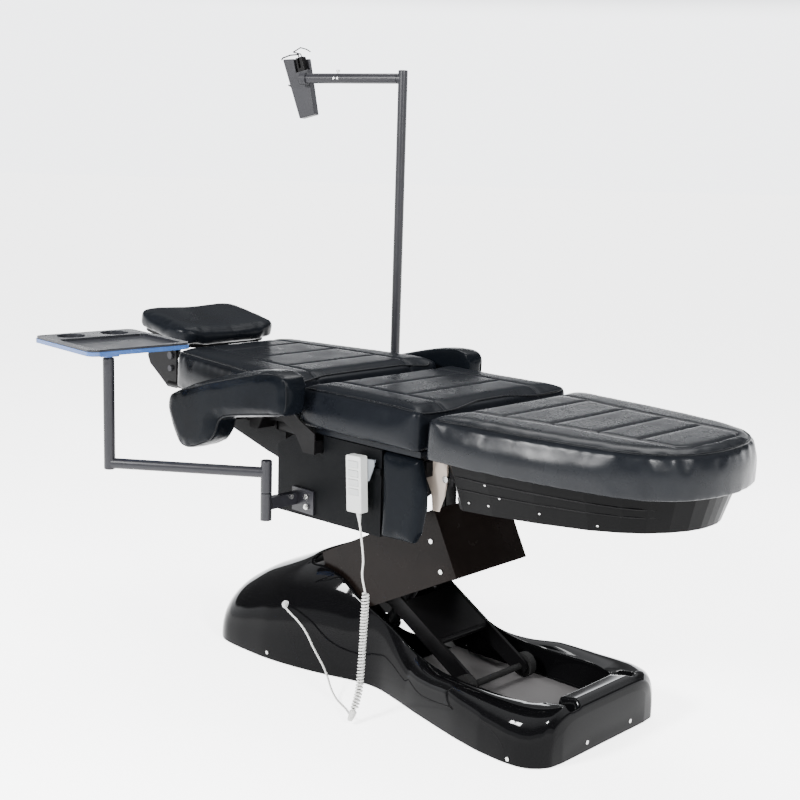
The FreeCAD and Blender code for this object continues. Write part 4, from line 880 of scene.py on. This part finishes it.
# padded ends of the side panels
pads = copy_node("side_pads", "side_panel_pads", LEATHER_ARM_PAINTED_SHADE)
puff(pads, lambda c: np.abs(c[:, 1]) < 0.2445, cap=0.004, shrink=0.002, voxel=0.005, smooth=1, limit=lambda c: np.stack([np.clip(c[:, 0], 0.1252, 0.264), np.clip(c[:, 1], -0.271, 0.271),
                                                                                                  np.clip(c[:, 2], 0.434, 0.6455)], 1))
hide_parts("side_pads")
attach(pads, "platform")


# ------------------------------------------------------------------ small details, placed from the camera's own frame onto what carries them
def ray(px, py):
    cam = scene.camera
    m = cam.matrix_world
    f = 1307.27
    d = m.to_3x3() @ Vector(((px - 400.0) / f, -(py - 400.0) / f, -1.0))
    return m.translation.copy(), d.normalized()


def on_piece(tree, px, py):
    o, d = ray(px, py)
    h = tree.ray_cast(o, d, 12.0)
    return h[0], h[1]


def screw(name, pos, nrm, r, body):
    """round headed screw with a small socket"""
    n = Vector(nrm).normalized()
    ob = lathe(name, [(-0.002, r * 0.5), (0.0, r), (r * 0.30, r * 0.94), (r * 0.50, r * 0.66), (r * 0.55, r * 0.40), (r * 0.2, r * 0.30), (r * 0.2, 0.0)], pos, n, STEEL, sides=20)
    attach(ob, body)
    return ob


pan_tree = bvh_of(NODES["leg_pan"])
for i, (px, py) in enumerate([(469, 503), (488.5, 506), (499.4, 498.6), (484.8, 485.5), (539.4, 513.9), (597.5, 526)]):
    q, nn = on_piece(pan_tree, px, py)
    if q is not None:
        screw("leg_pan_screw_%d" % (i + 1), q, nn, 0.0030, "legrest")
        if i in (0, 2, 4):
            screw("leg_pan_screw_far_%d" % (i + 1), Vector((q.x, -q.y, q.z)), Vector((nn.x, -nn.y, nn.z)), 0.0030, "legrest")


def pan_bead(name, z0, z1, r, sgn):
    """pressed bead along the side of the pan"""
    pts = []
    for x in np.arange(0.325, 0.80, 0.012):
        f = (x - 0.325) / 0.475
        z = z0 + (z1 - z0) * f
        h = pan_tree.ray_cast(Vector((x, sgn * 0.4, z)), Vector((0, -sgn, 0)), 0.5)
        if h[0] is not None:
            pts.append(h[0] + Vector((0, sgn * 0.0002, 0)))
    if len(pts) > 4:
        P = np.array([tuple(p) for p in pts])
        for _ in range(2):
            P[1:-1] = (P[:-2] + 2 * P[1:-1] + P[2:]) / 4
        n = len(P)
        t = tube(name, [Vector(p) for p in P], [r * min(1.0, 0.3 + min(i, n - 1 - i) / 3.0) for i in range(n)], POWDER, sides=10)
        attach(t, "legrest")


for sgn, nm in ((-1, "near"), (1, "far")):
    pan_bead("leg_pan_bead_upper_" + nm, 0.618, 0.622, 0.0022, sgn)
    pan_bead("leg_pan_bead_lower_" + nm, 0.588, 0.604, 0.0018, sgn)

# welts of the armrests: round the outer face
ARM_OUT = [(-580, 686), (-528, 709), (-413, 743), (-300, 773), (-215, 794), (-150, 800), (-115, 792), (-104, 768), (-106, 715), (-116, 699), (-150, 691), (-250, 675),
           (-335, 660), (-366, 648), (-374, 615), (-403, 583), (-452, 562), (-497, 551), (-531, 559), (-565, 606), (-580, 650)]


def arm_welt(name, ob, sgn, y, r, body):
    tree = bvh_of(ob)
    src, _ = resample([Vector((x, sgn * y, z)) * MM for x, z in ARM_OUT + ARM_OUT[:1]], 0.010)
    pts = []
    for p in src[:-1]:
        h = tree.find_nearest(p)
        pts.append(h[0] + h[1] * 0.0004)
    P = np.array([tuple(p) for p in pts])
    for _ in range(3):
        P = (np.roll(P, 1, 0) + 2 * P + np.roll(P, -1, 0)) / 4
    t = tube(name, [Vector(p) for p in P], r * MM, PIPING, sides=10, closed=True)
    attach(t, body)


arm_welt("armrest_welt_near", bpy.data.objects["arm_pad_near"], -1, 357, 2.2, "armrest_near")
arm_welt("armrest_welt_far", bpy.data.objects["arm_pad_far"], 1, 357, 2.2, "armrest_far")


# ------------------------------------------------------------------ room and light
def room():
    me = bpy.data.meshes.new("floor")
    me.from_pydata([(-90, -90, 0), (90, -90, 0), (90, 90, 0), (-90, 90, 0)], [], [(0, 1, 2, 3)])
    fl = bpy.data.objects.new("floor", me)
    scene.collection.objects.link(fl)
    m, nt, b = new_mat("floor_pale")
    b.inputs["Base Color"].default_value = (0.90, 0.90, 0.90, 1)
    b.inputs["Roughness"].default_value = 0.8
    b.inputs["Specular IOR Level"].default_value = 0.1
    b.inputs["Emission Color"].default_value = (1, 1, 1, 1)
    b.inputs["Emission Strength"].default_value = FLOOR_GLOW
    me.materials.append(m)
    w = bpy.data.worlds.new("room")
    scene.world = w
    w.use_nodes = True
    nt = w.node_tree
    bg = nt.nodes["Background"]
    tc = nt.nodes.new("ShaderNodeTexCoord")
    sep = nt.nodes.new("ShaderNodeSeparateXYZ")
    nt.links.new(tc.outputs["Generated"], sep.inputs[0])
    mr = nt.nodes.new("ShaderNodeMapRange")
    mr.interpolation_type = "SMOOTHSTEP"
    mr.inputs["From Min"].default_value = 0.100
    mr.inputs["From Max"].default_value = 0.140
    mr.inputs["To Min"].default_value = WORLD_LOW
    mr.inputs["To Max"].default_value = WORLD_HIGH
    nt.links.new(sep.outputs[2], mr.inputs["Value"])
    # a second, softer glow well above the horizon, for the rounded tops of the base
    up = nt.nodes.new("ShaderNodeMapRange")
    up.interpolation_type = "SMOOTHSTEP"
    up.inputs["From Min"].default_value = 0.36
    up.inputs["From Max"].default_value = 0.62
    up.inputs["To Min"].default_value = 0.0
    up.inputs["To Max"].default_value = WORLD_UP
    nt.links.new(sep.outputs[2], up.inputs["Value"])
    both = nt.nodes.new("ShaderNodeMath")
    both.operation = "ADD"
    nt.links.new(mr.outputs["Result"], both.inputs[0])
    nt.links.new(up.outputs["Result"], both.inputs[1])
    nt.links.new(both.outputs[0], bg.inputs["Strength"])
    bg.inputs["Color"].default_value = (0.96, 0.975, 1.0, 1)

    def area(name, loc, target, size, power, color=(1, 1, 1), size_y=None):
        la = bpy.data.lights.new(name, "AREA")
        la.energy = power
        la.color = color
        la.shape = "RECTANGLE"
        la.size = size
        la.size_y = size_y or size
        ob = bpy.data.objects.new(name, la)
        ob.location = loc
        ob.rotation_euler = (Vector(target) - Vector(loc)).to_track_quat("-Z", "Y").to_euler()
        scene.collection.objects.link(ob)

    area("key", (-0.6, -3.4, 2.6), (0, 0, 0.5), 0.7, 420, size_y=0.9)
    area("top", (-0.4, 1.2, 3.4), (0, 0, 0.6), 2.6, 170, size_y=1.6)
    area("side", (3.6, -1.0, 2.6), (0.2, 0, 0.5), 0.6, 240, size_y=0.6)


WORLD_LOW, WORLD_HIGH, WORLD_UP, FLOOR_GLOW = 4.2, 0.22, 1.1, 3.2
room()
